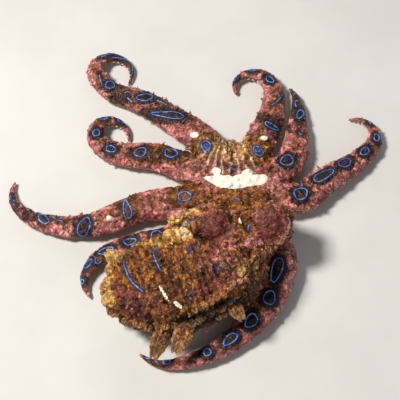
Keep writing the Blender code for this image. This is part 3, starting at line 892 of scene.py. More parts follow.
def seen_on(tree, pixels):
    """The places on the skin that the photograph shows at some pixels."""
    places = []
    for pixel in pixels:
        hit = tree.ray_cast(CAMERA, sight_line(pixel))[0]
        if hit is not None:
            places.append(hit)
    return places


def without_jumps(places, most=1.6):
    """The longest run of places with no leap from one part of the body to another."""
    runs, run = [], []
    for place in places:
        if run and (place - run[-1]).length > most:
            runs.append(run)
            run = []
        run.append(place)
    runs.append(run)
    return max(runs, key=len)


def arm_loop(arm, s, side, length, breadth, count=28):
    """A ring on an arm's back, as places over the arm."""
    places = []
    half = arm.half(s)
    for k in range(count):
        turn = FULL_TURN * k / count
        wobble = 1.0 + 0.10 * math.sin(2.0 * turn + s) + 0.07 * math.sin(3.0 * turn + 2.0 * s)
        away = s + math.cos(turn) * length * wobble / 2.0
        offset = side * half + math.sin(turn) * breadth * wobble / 2.0
        angle = QUARTER - offset / (half * 0.8)
        places.append(arm.point(min(away, arm.length), angle))
    return places


# Rings on the stretches of arm that the photograph hides or shades:
# arm: distances from the mouth in millimetres
RINGS_UNSEEN = {
    "l1": (66.0, 71.5),
    "l2": (29.0, 37.0, 44.0, 50.0, 54.5),
    "l3": (63.0,),
    "l4": (24.0, 31.0, 37.5, 43.0, 47.5),
    "r1": (41.0, 47.0, 52.0),
    "r2": (17.5,),
    "r3": (17.0, 25.5, 33.0, 40.0, 46.0, 51.5),
    "r4": (18.0, 26.0, 34.0, 41.5, 48.5, 55.0),
}
RING_LENGTH_SHARES = (1.15, 0.85, 1.5, 0.95)
RING_BREADTH_SHARES = (0.62, 0.55, 0.45, 0.68)


# Blue lines on the mantle's hidden sides: share of its route and angle from its right side
MANTLE_LINES_UNSEEN = (
    (0.30, 10.0), (0.46, -4.0), (0.62, 14.0), (0.80, 0.0),
    (0.34, 202.0), (0.52, 206.0), (0.70, 201.0), (0.86, 205.0),
)


def on_the_skin(places, tree):
    """Whether places of a hidden mark lie on the outer skin and not inside the flesh."""
    return all(tree.find_nearest(place)[3] < LINE_LOSS for place in places)


def blue_marks(arms, tree):
    """All blue markings as (places, closed) on the skin, and how many places the photograph shows."""
    draw = random.Random(SEED + 2)
    marks = []
    for name, (middle, length, breadths, tilt) in RINGS_SEEN.items():
        wanted = closed_loop(middle, length, breadths, tilt)
        places = seen_on(tree, wanted)
        run = without_jumps(places)
        closed = len(run) == len(wanted)
        if not closed:
            print("ring cut short:", name, len(run), "of", len(wanted))
        if len(run) > 3:
            marks.append((run, closed))
    for name, points in LINES_SEEN.items():
        wanted = smooth_line(points)
        run = without_jumps(seen_on(tree, wanted))
        if len(run) < len(wanted):
            print("line cut short:", name, len(run), "of", len(wanted))
        if len(run) > 2:
            marks.append((run, False))
    seen_count = sum(len(places) for places, _ in marks)
    for name, distances_out in RINGS_UNSEEN.items():
        arm = arms[name]
        for s in distances_out:
            half = arm.half(s)
            length = half * draw.choice(RING_LENGTH_SHARES)
            breadth = half * draw.choice(RING_BREADTH_SHARES)
            loop = arm_loop(arm, s, draw.uniform(-0.12, 0.12), length, breadth)
            if on_the_skin(loop, tree):
                marks.append((loop, True))
    for share, angle in MANTLE_LINES_UNSEEN:
        reach = np.linspace(-0.1, 0.1, 24)
        line = [mantle_point(share + t, math.radians(angle - 80.0 * t)) for t in reach]
        if on_the_skin(line, tree):
            marks.append((line, False))
    return marks, seen_count


def main_fields(skin, arms, bodies, marks, seen_count):
    """Values at each point of the skin that shape it and colour it."""
    points = points_of(skin)
    pixels = pixels_of(points)
    normals = np.array([vert.normal for vert in skin.data.vertices])
    facing = smooth_steps(0.5 - (normals @ np.array(SIGHT)) * 2.0)
    number, s, side, height, half = nearest_arm(points, arms)
    near = {name: distances(points, tree_of(objs)) for name, objs in bodies.items()}
    fields = {"points": points, "normals": normals, "pixels": pixels, "facing": facing}
    fields.update(number=number, s=s, side=side, height=height, half=half)
    for name in near:
        fields["on_" + name] = smooth_steps(1.0 - near[name] / 1.2)
    fields["below"] = smooth_steps((-normals[:, 2] - 0.15) / 0.5)
    tree = kdtree.KDTree(sum(len(places) for places, _ in marks))
    for k, place in enumerate(place for places, _ in marks for place in places):
        tree.insert(place, k)
    tree.balance()
    found = [tree.find(point) for point in points]
    fields["to_mark"] = np.array([far for _, _, far in found])
    unseen = [k >= seen_count for k in range(sum(len(places) for places, _ in marks))]
    fields["by_unseen"] = np.array([float(unseen[k]) for _, k, _ in found])
    return fields


def ridges(points, scale, seed):
    """Crooked ridges, from about -1 between them to 1 on their crests."""
    shift = Vector((seed * 17.3, seed * 5.1, seed * 9.7))
    heights = np.empty(len(points))
    for i, point in enumerate(points):
        place = Vector(point) * scale + shift
        heights[i] = 1.0 - 3.2 * abs(noise.noise(place + noise.noise_vector(place * 0.6) * 0.7))
    return np.clip(heights, -1.0, 1.0)


def shaped(skin, f):
    """Raises bumps, papillae, streaks and folds on the skin, away from the blue marks."""
    points, normals, pixels, facing = f["points"], f["normals"], f["pixels"], f["facing"]
    bulb = patches(pixels, {k: PLUM_SEEN[k] for k in ("left bulb", "right bulb")}) * facing
    small = np.clip(f["half"] / 3.2, 0.25, 1.0)
    scale = np.where(f["on_arms"] > 0.5, small, 1.0)
    calm = smooth_steps((f["to_mark"] - 0.3) / 1.3)
    sleek = f["on_arms"] * (1.0 - f["on_head"]) * (1.0 - f["on_mantle"])
    rough = calm * (1.0 - 0.9 * bulb) * (1.0 - 0.85 * f["below"]) * (1.0 - 0.45 * sleek)
    lumpy = np.maximum(f["on_mantle"], f["on_head"] * (1.0 - bulb)) * calm
    lift = 0.32 * ridges(points, 0.30, 1) * (0.3 + 0.7 * rough) * (1.0 - 0.5 * bulb) - 0.15
    lift += 0.50 * lumpy * ridges(points, 0.14, 12)
    lift += 0.26 * ridges(points, 0.80, 2) * (0.25 + 0.75 * rough)
    lift += 0.55 * rough * cell_bumps(points, 2.1, 0.50, 3)
    lift += 0.34 * rough * cell_bumps(points, 1.05, 0.60, 4)
    crooked = [axis + 3.0 * noise_at(points, 0.35, seed) for axis, seed in zip(pixels, (9, 10))]
    lift += folds(crooked, FOLDS_SEEN) * facing * calm
    drift = 3.5 * noise_at(points, 0.16, 13) + 1.2 * noise_at(points, 0.6, 14)
    pleats = np.sin((pixels[0] - 0.42 * pixels[1] + drift) * 0.90)
    lift += 0.34 * pleats * f["on_mantle"] * facing * calm
    shaken = [axis + 2.2 * noise_at(points, 0.55, seed) for axis, seed in zip(pixels, (7, 8))]
    white = np.maximum(patches(pixels, WHITE_SEEN, 0.3), crescent(shaken)) * facing
    lift += white * (0.25 + 0.75 * cell_bumps(points, 1.4, 0.72, 5) - 0.75 * lift)
    dx, dy = pixels[0] - FAN_APEX[0], pixels[1] - FAN_APEX[1]
    turn, away = np.arctan2(dx, dy), np.hypot(dx, dy)
    fan = smooth_steps((0.85 - np.abs(turn)) / 0.35) * smooth_steps((62.0 - away) / 16.0) * facing
    ribs = np.sin(turn * 36.0 + 2.4 * noise_at(points, 0.45, 6))
    ribs = np.sign(ribs) * np.abs(ribs) ** 1.6 * fan * smooth_steps(away / 12.0)
    lift += 0.14 * ribs
    smooth = np.maximum(np.maximum(white, 0.6 * bulb), 0.5 * sleek)
    f.update(ribs=ribs, white=white, bulb=bulb, lift=lift, sleek=sleek, smooth=smooth)
    moved = points + normals * (lift * scale * (1.0 - 0.6 * f["below"]))[:, None]
    moved[:, 2] = np.maximum(moved[:, 2], FLOOR_GAP)
    set_points(skin, moved)


def coloured(skin, f):
    """Stores at each point how far it takes each of the skin's colours."""
    pixels, facing = f["pixels"], f["facing"]
    arm_back = smooth_steps((f["height"] - 0.5) / 0.3) * f["on_arms"]
    hidden = 1.0 - facing
    out_of_sight = np.maximum(hidden, f["by_unseen"])
    near_mark = smooth_steps(1.25 - f["to_mark"] / 2.4)
    # The dark share holds dark skin patches and, for some seen patches, painted shadow and shade.
    dark = np.maximum(patches(pixels, DARK_AND_SHADOW_SEEN) * facing, 0.85 * near_mark * out_of_sight)
    dark = np.maximum(dark, 0.62 * smooth_steps(1.3 - f["to_mark"] / 1.0))
    brown = np.maximum(patches(pixels, BROWN_SEEN) * facing, 0.8 * f["on_mantle"])
    brown = np.maximum(brown, 0.55 * f["on_head"])
    mauve = patches(pixels, MAUVE_SEEN) * facing
    brown *= 1.0 - 0.7 * mauve
    brown = np.maximum(brown, 0.5 * arm_back * smooth_steps(1.1 - np.abs(f["side"])))
    brown = np.maximum(brown, 0.9 * smooth_steps(1.2 - f["to_mark"] / 1.8))
    arm_under_cheek = f["on_arms"] * (f["number"] == list(ARMS).index("l4"))
    values = {
        "dark": dark * (1.0 - f["white"]),
        "brown": brown,
        "tan": patches(pixels, TAN_SEEN) * facing * (1.0 - 0.85 * arm_under_cheek),
        "plum": patches(pixels, PLUM_SEEN) * facing,
        "mauve": mauve,
        "white": f["white"],
        "smooth": f["smooth"],
        "near": smooth_steps(1.3 - f["to_mark"] / 0.55),
        "haze": patches(pixels, BLUE_HAZE_SEEN, 0.8) * facing,
        "below": f["below"],
        "ribs": f["ribs"],
        "lift": f["lift"],
        "tip": np.zeros(len(dark)),
    }
    for name, value in values.items():
        attribute = skin.data.attributes.new(name, "FLOAT", "POINT")
        attribute.data.foreach_set("value", np.asarray(value, dtype=np.float32))
    return values


# Blue lines, suckers, papillae and eyes


def blue_lines(marks, tree):
    """The blue rings and lines as fine raised cords, half sunk in the skin."""
    data = bpy.data.curves.new("blue_lines", "CURVE")
    data.dimensions = "3D"
    data.bevel_depth = RING_LINE
    data.bevel_resolution = 1
    data.use_fill_caps = True
    for places, closed in marks:
        settled = []
        for place in places:
            found, normal, _, _ = tree.find_nearest(place)
            settled.append(found + normal * (RING_LINE * LINE_RISE))
        spline = data.splines.new("POLY")
        spline.points.add(len(settled) - 1)
        for point, place in zip(spline.points, settled):
            point.co = (*place, 1.0)
            point.radius = 0.95 + 0.5 * noise.noise(place * 0.9)
        if not closed:
            spline.points[0].radius = 0.35
            spline.points[-1].radius = 0.35
        spline.use_cyclic_u = closed
    obj = bpy.data.objects.new("blue_lines", data)
    bpy.context.scene.collection.objects.link(obj)
    make_active(obj)
    bpy.ops.object.convert(target="MESH")
    cords = bpy.context.view_layer.objects.active
    bpy.ops.object.mode_set(mode="EDIT")
    bpy.ops.mesh.select_all(action="SELECT")
    bpy.ops.mesh.remove_doubles(threshold=0.0005)
    bpy.ops.mesh.normals_make_consistent(inside=False)
    bpy.ops.object.mode_set(mode="OBJECT")
    for vert in cords.data.vertices:
        found, normal, _, _ = tree.find_nearest(vert.co)
        height = (vert.co - found).dot(normal)
        vert.co -= normal * (height * LINE_FLATNESS)
    return cords


def repeated(name, model, places, values=None):
    """One mesh of many copies of a small model, each with its own values at all its points."""
    points = np.c_[points_of(model), np.ones(len(model.data.vertices))]
    faces = [list(face.vertices) for face in model.data.polygons]
    all_points, all_faces = [], []
    for matrix in places:
        start = len(all_points) * len(points)
        all_points.append((points @ np.array(matrix).T)[:, :3])
        all_faces += [[start + i for i in face] for face in faces]
    mesh = bpy.data.meshes.new(name)
    mesh.from_pydata(np.concatenate(all_points).tolist(), [], all_faces)
    for key, each in (values or {}).items():
        attribute = mesh.attributes.new(key, "FLOAT", "POINT")
        attribute.data.foreach_set("value", np.repeat(each, len(points)).astype(np.float32))
    obj = bpy.data.objects.new(name, mesh)
    bpy.context.scene.collection.objects.link(obj)
    return obj


def sucker_model():
    """A sucker of radius 1 that hangs down from z = 0: a short neck, a round rim and a hollow cup."""
    deselect_all()
    bpy.ops.mesh.primitive_cylinder_add(
        vertices=SUCKER_SIDES, radius=0.72, depth=1.6, location=(0.0, 0.0, -0.1), end_fill_type="NGON"
    )
    obj = bpy.context.object
    obj.data.transform(obj.matrix_world)
    obj.matrix_world = Matrix.Identity(4)
    bpy.ops.object.mode_set(mode="EDIT")
    bpy.ops.mesh.select_all(action="DESELECT")
    bpy.ops.object.mode_set(mode="OBJECT")
    for face in obj.data.polygons:
        face.select = face.normal.z < -0.9
    bpy.ops.object.mode_set(mode="EDIT")
    bpy.ops.mesh.select_mode(type="FACE")
    bpy.ops.mesh.extrude_region_move(TRANSFORM_OT_translate={"value": (0.0, 0.0, -0.12)})
    bpy.ops.transform.resize(value=(1.38, 1.38, 1.0))
    bpy.ops.mesh.extrude_region_move(TRANSFORM_OT_translate={"value": (0.0, 0.0, -0.22)})
    bpy.ops.transform.resize(value=(0.93, 0.93, 1.0))
    bpy.ops.mesh.inset(thickness=0.22, depth=0.0)
    bpy.ops.mesh.extrude_region_move(TRANSFORM_OT_translate={"value": (0.0, 0.0, 0.42)})
    bpy.ops.transform.resize(value=(0.6, 0.6, 1.0))
    bpy.ops.object.mode_set(mode="OBJECT")
    return obj


def suckers(arms):
    model = sucker_model()
    places = []
    for arm in arms.values():
        for index, s in enumerate(arm.sucker_places()):
            half = arm.half(s)
            side = SUCKER_ROW * half * (1 if index % 2 else -1)
            rim = SUCKER_RIM * half
            put = Matrix.Translation((side, 0.0, 0.0)) @ Matrix.Diagonal((rim, rim, rim * 0.78, 1.0))
            places.append(arm.frame(s) @ put)
    made = repeated("suckers", model, places)
    bpy.data.objects.remove(model)
    return made


def papilla_model():
    """A soft, bent papilla of height 1 and root radius 1, flared where it meets the skin."""
    bar = ringed_bar("papilla", 7, 5)
    profile = (1.0, 0.66, 0.50, 0.44, 0.36, 0.14)

    def place(share, angle):
        radius = profile[round(share * 5)] * (1.0 + 0.18 * math.sin(3.0 * angle))
        return Vector((radius * math.cos(angle), radius * math.sin(angle) + 0.45 * share**2, share))

    return moulded(bar, place)


def scrap_model():
    """A small ragged tab of skin, wider than thick, with a notched top."""
    bar = ringed_bar("scrap", 10, 5)
    profile = (1.0, 0.85, 0.80, 0.75, 0.66, 0.42)

    def place(share, angle):
        across = profile[round(share * 5)] * math.cos(angle)
        thick = 0.42 * (1.0 - 0.6 * share) * math.sin(angle)
        notch = 1.0 - 0.22 * share * math.cos(7.0 * across)
        return Vector((across, thick + 0.35 * share**2, share * notch))

    return moulded(bar, place)


def flap_model():
    """A leaf of skin of height 1 and half width 1, thin, curled and lobed, and its lengthwise streaks."""
    bar = ringed_bar("flap", 20, 9)
    local = points_of(bar)
    streaks = 0.75 * np.cos(10.0 * np.arctan2(local[:, 1], local[:, 0])) * (0.4 + 0.6 * local[:, 2])
    profile = (0.70, 0.86, 0.96, 1.0, 1.0, 0.95, 0.86, 0.72, 0.50, 0.22)

    def place(share, angle):
        lobes = 1.0 + 0.10 * math.sin(19.0 * share + 1.0) * share
        across = profile[round(share * 9)] * math.cos(angle) * lobes
        thick = (0.20 - 0.12 * share) * math.sin(angle)
        curl = 0.30 * share**2 + 0.10 * math.sin(4.2 * across + 1.0) * share
        notch = 1.0 - 0.10 * share * math.cos(8.0 * across)
        return Vector((across, thick + curl, share * notch))

    return moulded(bar, place), streaks


def stand_on(place, way, lean, spin, width, height, sink):
    """Puts a model of height 1 on the skin, along its normal and leaning a little."""
    stand = (way + lean).normalized()
    turn = stand.to_track_quat("Z", "Y").to_matrix().to_4x4()
    size = Matrix.Diagonal((width, width, height, 1.0))
    return Matrix.Translation(place - way * sink) @ turn @ Matrix.Rotation(spin, 4, "Z") @ size


def skin_growths(name, model, places, values):
    """Many copies of a model in one mesh, each with its own colours, paler at its edge."""
    made = repeated(name, model, places, values)
    local = points_of(model)
    edge = np.clip(np.maximum(local[:, 2], np.abs(local[:, 0]) * smooth_steps(local[:, 2] * 3.0)), 0.0, 1.0)
    tips = np.tile(edge**3, len(places)).astype(np.float32)
    made.data.attributes["tip"].data.foreach_set("value", tips)
    bpy.data.objects.remove(model)
    return made


def values_at(values, picked):
    """The skin's colour values at some of its points."""
    return {key: value[picked] for key, value in values.items()}


def papillae(skin, f, values):
    """Many small papillae and ragged tabs, dense on the mantle, head and web and smaller on the arms."""
    draw = random.Random(SEED)
    points = points_of(skin)
    normals = np.array([vert.normal for vert in skin.data.vertices])
    weight = (1.0 - 0.93 * f["bulb"]) * smooth_steps((f["to_mark"] - 0.7) / 1.2)
    weight *= 1.0 - np.clip(f["below"] * 2.5, 0.0, 1.0)
    weight *= np.where(f["on_siphon"] > 0.5, 0.1, 1.0) * (1.0 - f["white"])
    weight *= (1.0 + 0.8 * np.clip(f["lift"], 0.0, 1.0)) * (1.0 - 0.5 * f["on_mantle"] * f["facing"])
    weight *= (1.0 - 0.7 * smooth_steps((values["tan"] - 0.75) / 0.25)) * (1.0 - 0.45 * f["sleek"])
    kinds = {"papilla": ([], []), "scrap": ([], [])}
    for i in range(len(points)):
        if draw.random() > 0.040 * weight[i]:
            continue
        kind = draw.choice(("papilla", "scrap", "scrap"))
        size = draw.uniform(0.3, 1.0) ** 1.8
        if f["on_arms"][i] > 0.5:
            size *= min(1.0, f["half"][i] / 4.0)
        way = Vector(normals[i])
        lean = Vector([draw.uniform(-0.8, 0.8) for _ in range(3)])
        width, height = 0.26 + 0.42 * size, 0.25 + 0.65 * size
        matrix = stand_on(Vector(points[i]), way, lean, draw.uniform(0.0, FULL_TURN), width, height, 0.15)
        kinds[kind][0].append(matrix)
        kinds[kind][1].append(i)
    print("papillae", [len(places) for places, _ in kinds.values()])
    made = []
    for model, (places, picked) in zip((papilla_model(), scrap_model()), kinds.values()):
        made.append(skin_growths("papillae", model, places, values_at(values, picked)))
    return joined(made, "papillae")


# Rows of skin flaps as the photograph shows them: edge in pixels, count, least and most size in mm
FRINGE_ROWS_SEEN = {
    "mantle left edge": (((120, 262), (112, 270), (106, 282), (104, 298), (116, 314), (130, 322)), 18, 0.9, 2.0),
    "mantle rear edge": (((130, 319), (152, 326), (185, 323), (212, 312), (240, 292)), 24, 0.8, 1.9),
    "head back edge": (((222, 262), (240, 264), (258, 255), (274, 245), (288, 231)), 20, 0.8, 1.6),
    "head right edge": (((289, 228), (291, 214), (285, 202)), 8, 0.7, 1.3),
    "cheek edge": (((168, 240), (170, 226), (180, 216), (192, 211)), 11, 0.6, 1.2),
    "rump ridge": (((190, 311), (206, 304), (222, 294), (232, 283), (246, 279)), 17, 0.8, 1.5),
    "mantle flank ridge": (((246, 262), (256, 272), (254, 286), (242, 298)), 13, 0.9, 1.9),
    "far rear ridge": (((150, 333), (176, 335), (206, 326), (228, 312)), 16, 0.8, 1.8),
}

# Colours of the single flaps, as strengths of the skin's colours
OLIVE = {"tan": 0.70, "plum": 0.0, "dark": 0.0, "brown": 1.0}
ROSY = {"tan": 0.28, "plum": 0.34, "dark": 0.40, "brown": 0.75}

# Single large flaps as the photograph shows them: pixel of the root, half width, height, tilt, colours
LEAVES_SEEN = (
    ((119, 262), 2.2, 4.6, 158, OLIVE),
    ((114, 298), 2.2, 3.2, 195, OLIVE),
    ((163, 332), 2.3, 7.3, 236, ROSY),
    ((187, 327), 2.5, 7.4, 240, ROSY),
    # this leaf takes the darker rosy tint as painted shade, since it lies in shadow
    ((233, 306), 1.9, 4.6, 292, ROSY),
    ((252, 262), 1.5, 2.6, 285, ROSY),
    ((240, 268), 1.5, 2.6, 262, OLIVE),
    ((174, 222), 1.2, 2.0, 150, OLIVE),
    ((184, 216), 1.2, 1.8, 110, OLIVE),
    ((170, 234), 1.2, 2.0, 185, OLIVE),
)


def flap_matrix(hit, normal, tilt, width, height):
    """Lays a flap on the skin so that it points a given way on the picture and faces it."""
    t = math.radians(tilt)
    lie = SIGHT_RIGHT * math.cos(t) + SIGHT_UP * math.sin(t)
    way = (lie + normal * 0.45).normalized()
    across = way.cross(normal * 0.6 - SIGHT).normalized()
    back = way.cross(across)
    turn = Matrix((across, back, way)).transposed().to_4x4()
    return Matrix.Translation(hit - way * 0.35) @ turn @ Matrix.Diagonal((width, width, height, 1.0))


def fringes(skin, tree, f, values):
    """Leaf-like skin flaps in rows along the edges of the mantle, head and cheek, and single leaves."""
    draw = random.Random(SEED + 1)
    points = points_of(skin)
    near = kdtree.KDTree(len(points))
    for i, point in enumerate(points):
        near.insert(point, i)
    near.balance()
    places, picked = [], []

    def add(pixel, tilt, width, height):
        hit, normal, _, _ = tree.ray_cast(CAMERA, sight_line(pixel))
        if hit is None:
            hit, normal = nearest_to_sight(points, pixel, tree)
        matrix = flap_matrix(hit, normal, tilt, width, height)
        tip = matrix @ Vector((0.0, 0.0, 1.0))
        nearest = near.find(hit)[1]
        if tip.z > 0.3 and f["on_arms"][nearest] < 0.5:
            places.append(matrix)
            picked.append(nearest)

    for edge, count, least, most in FRINGE_ROWS_SEEN.values():
        line = smooth_line(edge, 12)
        for k in range(count):
            at = (k + draw.random()) / count * (len(line) - 2)
            a, b = line[int(at)], line[int(at) + 1]
            tilt = math.degrees(math.atan2(a[1] - b[1], b[0] - a[0])) - 90.0
            size = draw.uniform(least, most)
            pixel = (a[0] + draw.uniform(-1.5, 1.5), a[1] + draw.uniform(-1.5, 1.5))
            add(pixel, tilt + draw.uniform(-25.0, 25.0), size * draw.uniform(0.55, 0.95), size)
    tints = {}
    for pixel, width, height, tilt, tint in LEAVES_SEEN:
        add(pixel, tilt, width, height)
        tints[len(places) - 1] = tint
    own = values_at(values, picked)
    for index, tint in tints.items():
        for key, strength in tint.items():
            own[key][index] = strength
    model, streaks = flap_model()
    made = skin_growths("fringes", model, places, own)
    made.data.attributes["ribs"].data.foreach_set("value", np.tile(streaks, len(places)).astype(np.float32))
    return made


def nearest_to_sight(points, pixel, tree):
    """The skin's place nearest to a sight line that misses it."""
    way = np.array(sight_line(pixel))
    rel = points - np.array(CAMERA)
    along = rel @ way
    off = np.linalg.norm(rel - along[:, None] * way, axis=1)
    found, normal, _, _ = tree.find_nearest(Vector(points[int(off.argmin())]))
    return found, normal


def eye(name, side):
    """An eyeball whose pole looks out, with places for its iris and pupil."""
    obj = ball(name, Vector(), (1.0, 1.0, 1.0), 0.0, 64, 48)
    local = points_of(obj)
    attribute = obj.data.attributes.new("eye_place", "FLOAT_VECTOR", "POINT")
    attribute.data.foreach_set("vector", local.astype(np.float32).ravel())
    look = eye_look(side)
    level = UP.cross(look).normalized()
    above = look.cross(level)
    turn = Matrix((level, above, look)).transposed().to_4x4()
    size = Matrix.Diagonal((EYE_RADIUS, EYE_RADIUS, EYE_RADIUS, 1.0))
    obj.data.transform(Matrix.Translation(eye_centre(side)) @ turn @ size)
    return obj


# Materials


def new_material(name):
    made = bpy.data.materials.new(name)
    made.use_nodes = True
    return made, made.node_tree, made.node_tree.nodes["Principled BSDF"]


def add_node(tree, kind, **settings):
    made = tree.nodes.new(kind)
    for name, value in settings.items():
        setattr(made, name, value)
    return made


def millimetres(tree):
    """Object coordinates in millimetres."""
    coordinates = add_node(tree, "ShaderNodeTexCoord")
    mapping = add_node(tree, "ShaderNodeMapping")
    mapping.inputs["Scale"].default_value = (1.0 / MM, 1.0 / MM, 1.0 / MM)
    tree.links.new(coordinates.outputs["Object"], mapping.inputs["Vector"])
    return mapping.outputs["Vector"]


def noise_of(tree, vector, scale, detail=4.0, roughness=0.6, distortion=0.0):
    made = add_node(tree, "ShaderNodeTexNoise")
    made.inputs["Scale"].default_value = scale
    made.inputs["Detail"].default_value = detail
    made.inputs["Roughness"].default_value = roughness
    made.inputs["Distortion"].default_value = distortion
    tree.links.new(vector, made.inputs["Vector"])
    return made.outputs["Fac"]


def in_range(tree, value, low, high, to_low=0.0, to_high=1.0):
    made = add_node(tree, "ShaderNodeMapRange", interpolation_type="SMOOTHSTEP")
    for name, number in zip(("From Min", "From Max", "To Min", "To Max"), (low, high, to_low, to_high)):
        made.inputs[name].default_value = number
    tree.links.new(value, made.inputs["Value"])
    return made.outputs["Result"]


def maths(tree, operation, a, b):
    made = add_node(tree, "ShaderNodeMath", operation=operation)
    for socket, value in zip(made.inputs, (a, b)):
        if isinstance(value, (int, float)):
            socket.default_value = value
        else:
            tree.links.new(value, socket)
    return made.outputs["Value"]


def blended(tree, share, under, over):
    """A colour between two, each a colour or a socket."""
    made = add_node(tree, "ShaderNodeMix", data_type="RGBA", clamp_factor=True)
    tree.links.new(share, made.inputs["Factor"])
    for name, value in (("A", under), ("B", over)):
        socket = [s for s in made.inputs if s.name == name and s.type == "RGBA"][0]
        if isinstance(value, tuple):
            socket.default_value = (*value, 1.0)
        else:
            tree.links.new(value, socket)
    return [s for s in made.outputs if s.type == "RGBA"][0]


def stored(tree, name):
    made = add_node(tree, "ShaderNodeAttribute", attribute_name=name)
    return made.outputs["Fac"]


def pebbles(tree, place, scale):
    """Random tones of a cell pattern, and how near the middle of its cell a place is."""
    cells = add_node(tree, "ShaderNodeTexVoronoi", feature="F1")
    cells.inputs["Scale"].default_value = scale
    tree.links.new(place, cells.inputs["Vector"])
    tone = add_node(tree, "ShaderNodeSeparateColor")
    tree.links.new(cells.outputs["Color"], tone.inputs["Color"])
    return tone.outputs["Red"], in_range(tree, cells.outputs["Distance"], 0.62, 0.10)


def mottle_group():
    """Blotches, mottling, pale speckles that are partly painted glints, light and dark grains with painted shade
    between them, and their relief, from millimetres.
    """
    group = bpy.data.node_groups.new("skin mottle", "ShaderNodeTree")
    group.interface.new_socket("Place", in_out="INPUT", socket_type="NodeSocketVector")
    names = ("Blotches", "Mottling", "Speckles", "Clouds", "Shade", "Grain")
    for name in names:
        group.interface.new_socket(name, in_out="OUTPUT", socket_type="NodeSocketFloat")
    start = add_node(group, "NodeGroupInput")
    end = add_node(group, "NodeGroupOutput")
    place = start.outputs["Place"]
    blotches = noise_of(group, place, 0.24, 4.0, 0.65, 0.8)
    mottling = noise_of(group, place, 0.75, 6.0, 0.70, 0.3)
    clouds = in_range(group, noise_of(group, place, 0.42, 3.0, 0.6, 1.2), 0.36, 0.62)
    fine = noise_of(group, place, 2.6, 4.0, 0.7)
    coarse = noise_of(group, place, 1.3, 3.0, 0.6)
    swirl = noise_of(group, place, 0.9, 3.0, 0.6)
    crooked = add_node(group, "ShaderNodeVectorMath", operation="ADD")
    group.links.new(place, crooked.inputs[0])
    group.links.new(swirl, crooked.inputs[1])
    big_tone, big_top = pebbles(group, crooked.outputs["Vector"], 0.95)
    small_tone, small_top = pebbles(group, crooked.outputs["Vector"], 2.0)
    tones = maths(group, "ADD", maths(group, "MULTIPLY", big_tone, 0.45), maths(group, "MULTIPLY", small_tone, 0.55))
    # Pebble tops are painted lighter and the gaps between them darker: painted shade between the raised pebbles,
    # over pebble tones that vary at random.
    tops = maths(group, "ADD", maths(group, "MULTIPLY", big_top, 0.5), maths(group, "MULTIPLY", small_top, 0.3))
    shade = maths(group, "ADD", tones, maths(group, "MULTIPLY", tops, 0.4))
    shade = maths(group, "MULTIPLY", in_range(group, shade, 0.3, 1.0, 0.50, 1.60),
                  in_range(group, fine, 0.35, 0.65, 0.72, 1.25))
    # Pale specks on the pebble tops, partly painted glints of wet skin.
    speckles = maths(group, "MULTIPLY", small_top, in_range(group, coarse, 0.50, 0.60))
    grain = maths(group, "ADD", maths(group, "MULTIPLY", fine, 0.6), maths(group, "MULTIPLY", tops, 0.8))
    grain = maths(group, "ADD", grain, maths(group, "MULTIPLY", mottling, 0.5))
    for name, value in zip(names, (blotches, mottling, speckles, clouds, shade, grain)):
        group.links.new(value, end.inputs[name])
    return group


SKIN_MAUVE = (0.41, 0.115, 0.110)
SKIN_PINK = (0.62, 0.25, 0.22)
SKIN_BROWN = (0.078, 0.021, 0.0020)
SKIN_ORANGE = (0.205, 0.064, 0.0030)
# dark skin colour, also used for painted shadow and shade
SKIN_DARK_AND_SHADOW = (0.024, 0.0095, 0.0060)
SKIN_NAVY = (0.012, 0.011, 0.045)
SKIN_SPECK = (0.85, 0.64, 0.48)
SKIN_GOLD_SPECK = (0.60, 0.34, 0.07)
SKIN_TAN = (0.60, 0.345, 0.085)
SKIN_CREAM = (0.86, 0.58, 0.31)
SKIN_PALE_TIP = (0.55, 0.31, 0.12)
SKIN_BELOW = (0.50, 0.33, 0.24)
SKIN_WHITE = (0.86, 0.84, 0.72)
SKIN_BLUE_HAZE = (0.020, 0.020, 0.085)
SKIN_PLUM = (0.14, 0.032, 0.027)
SKIN_BULB = (0.22, 0.058, 0.045)


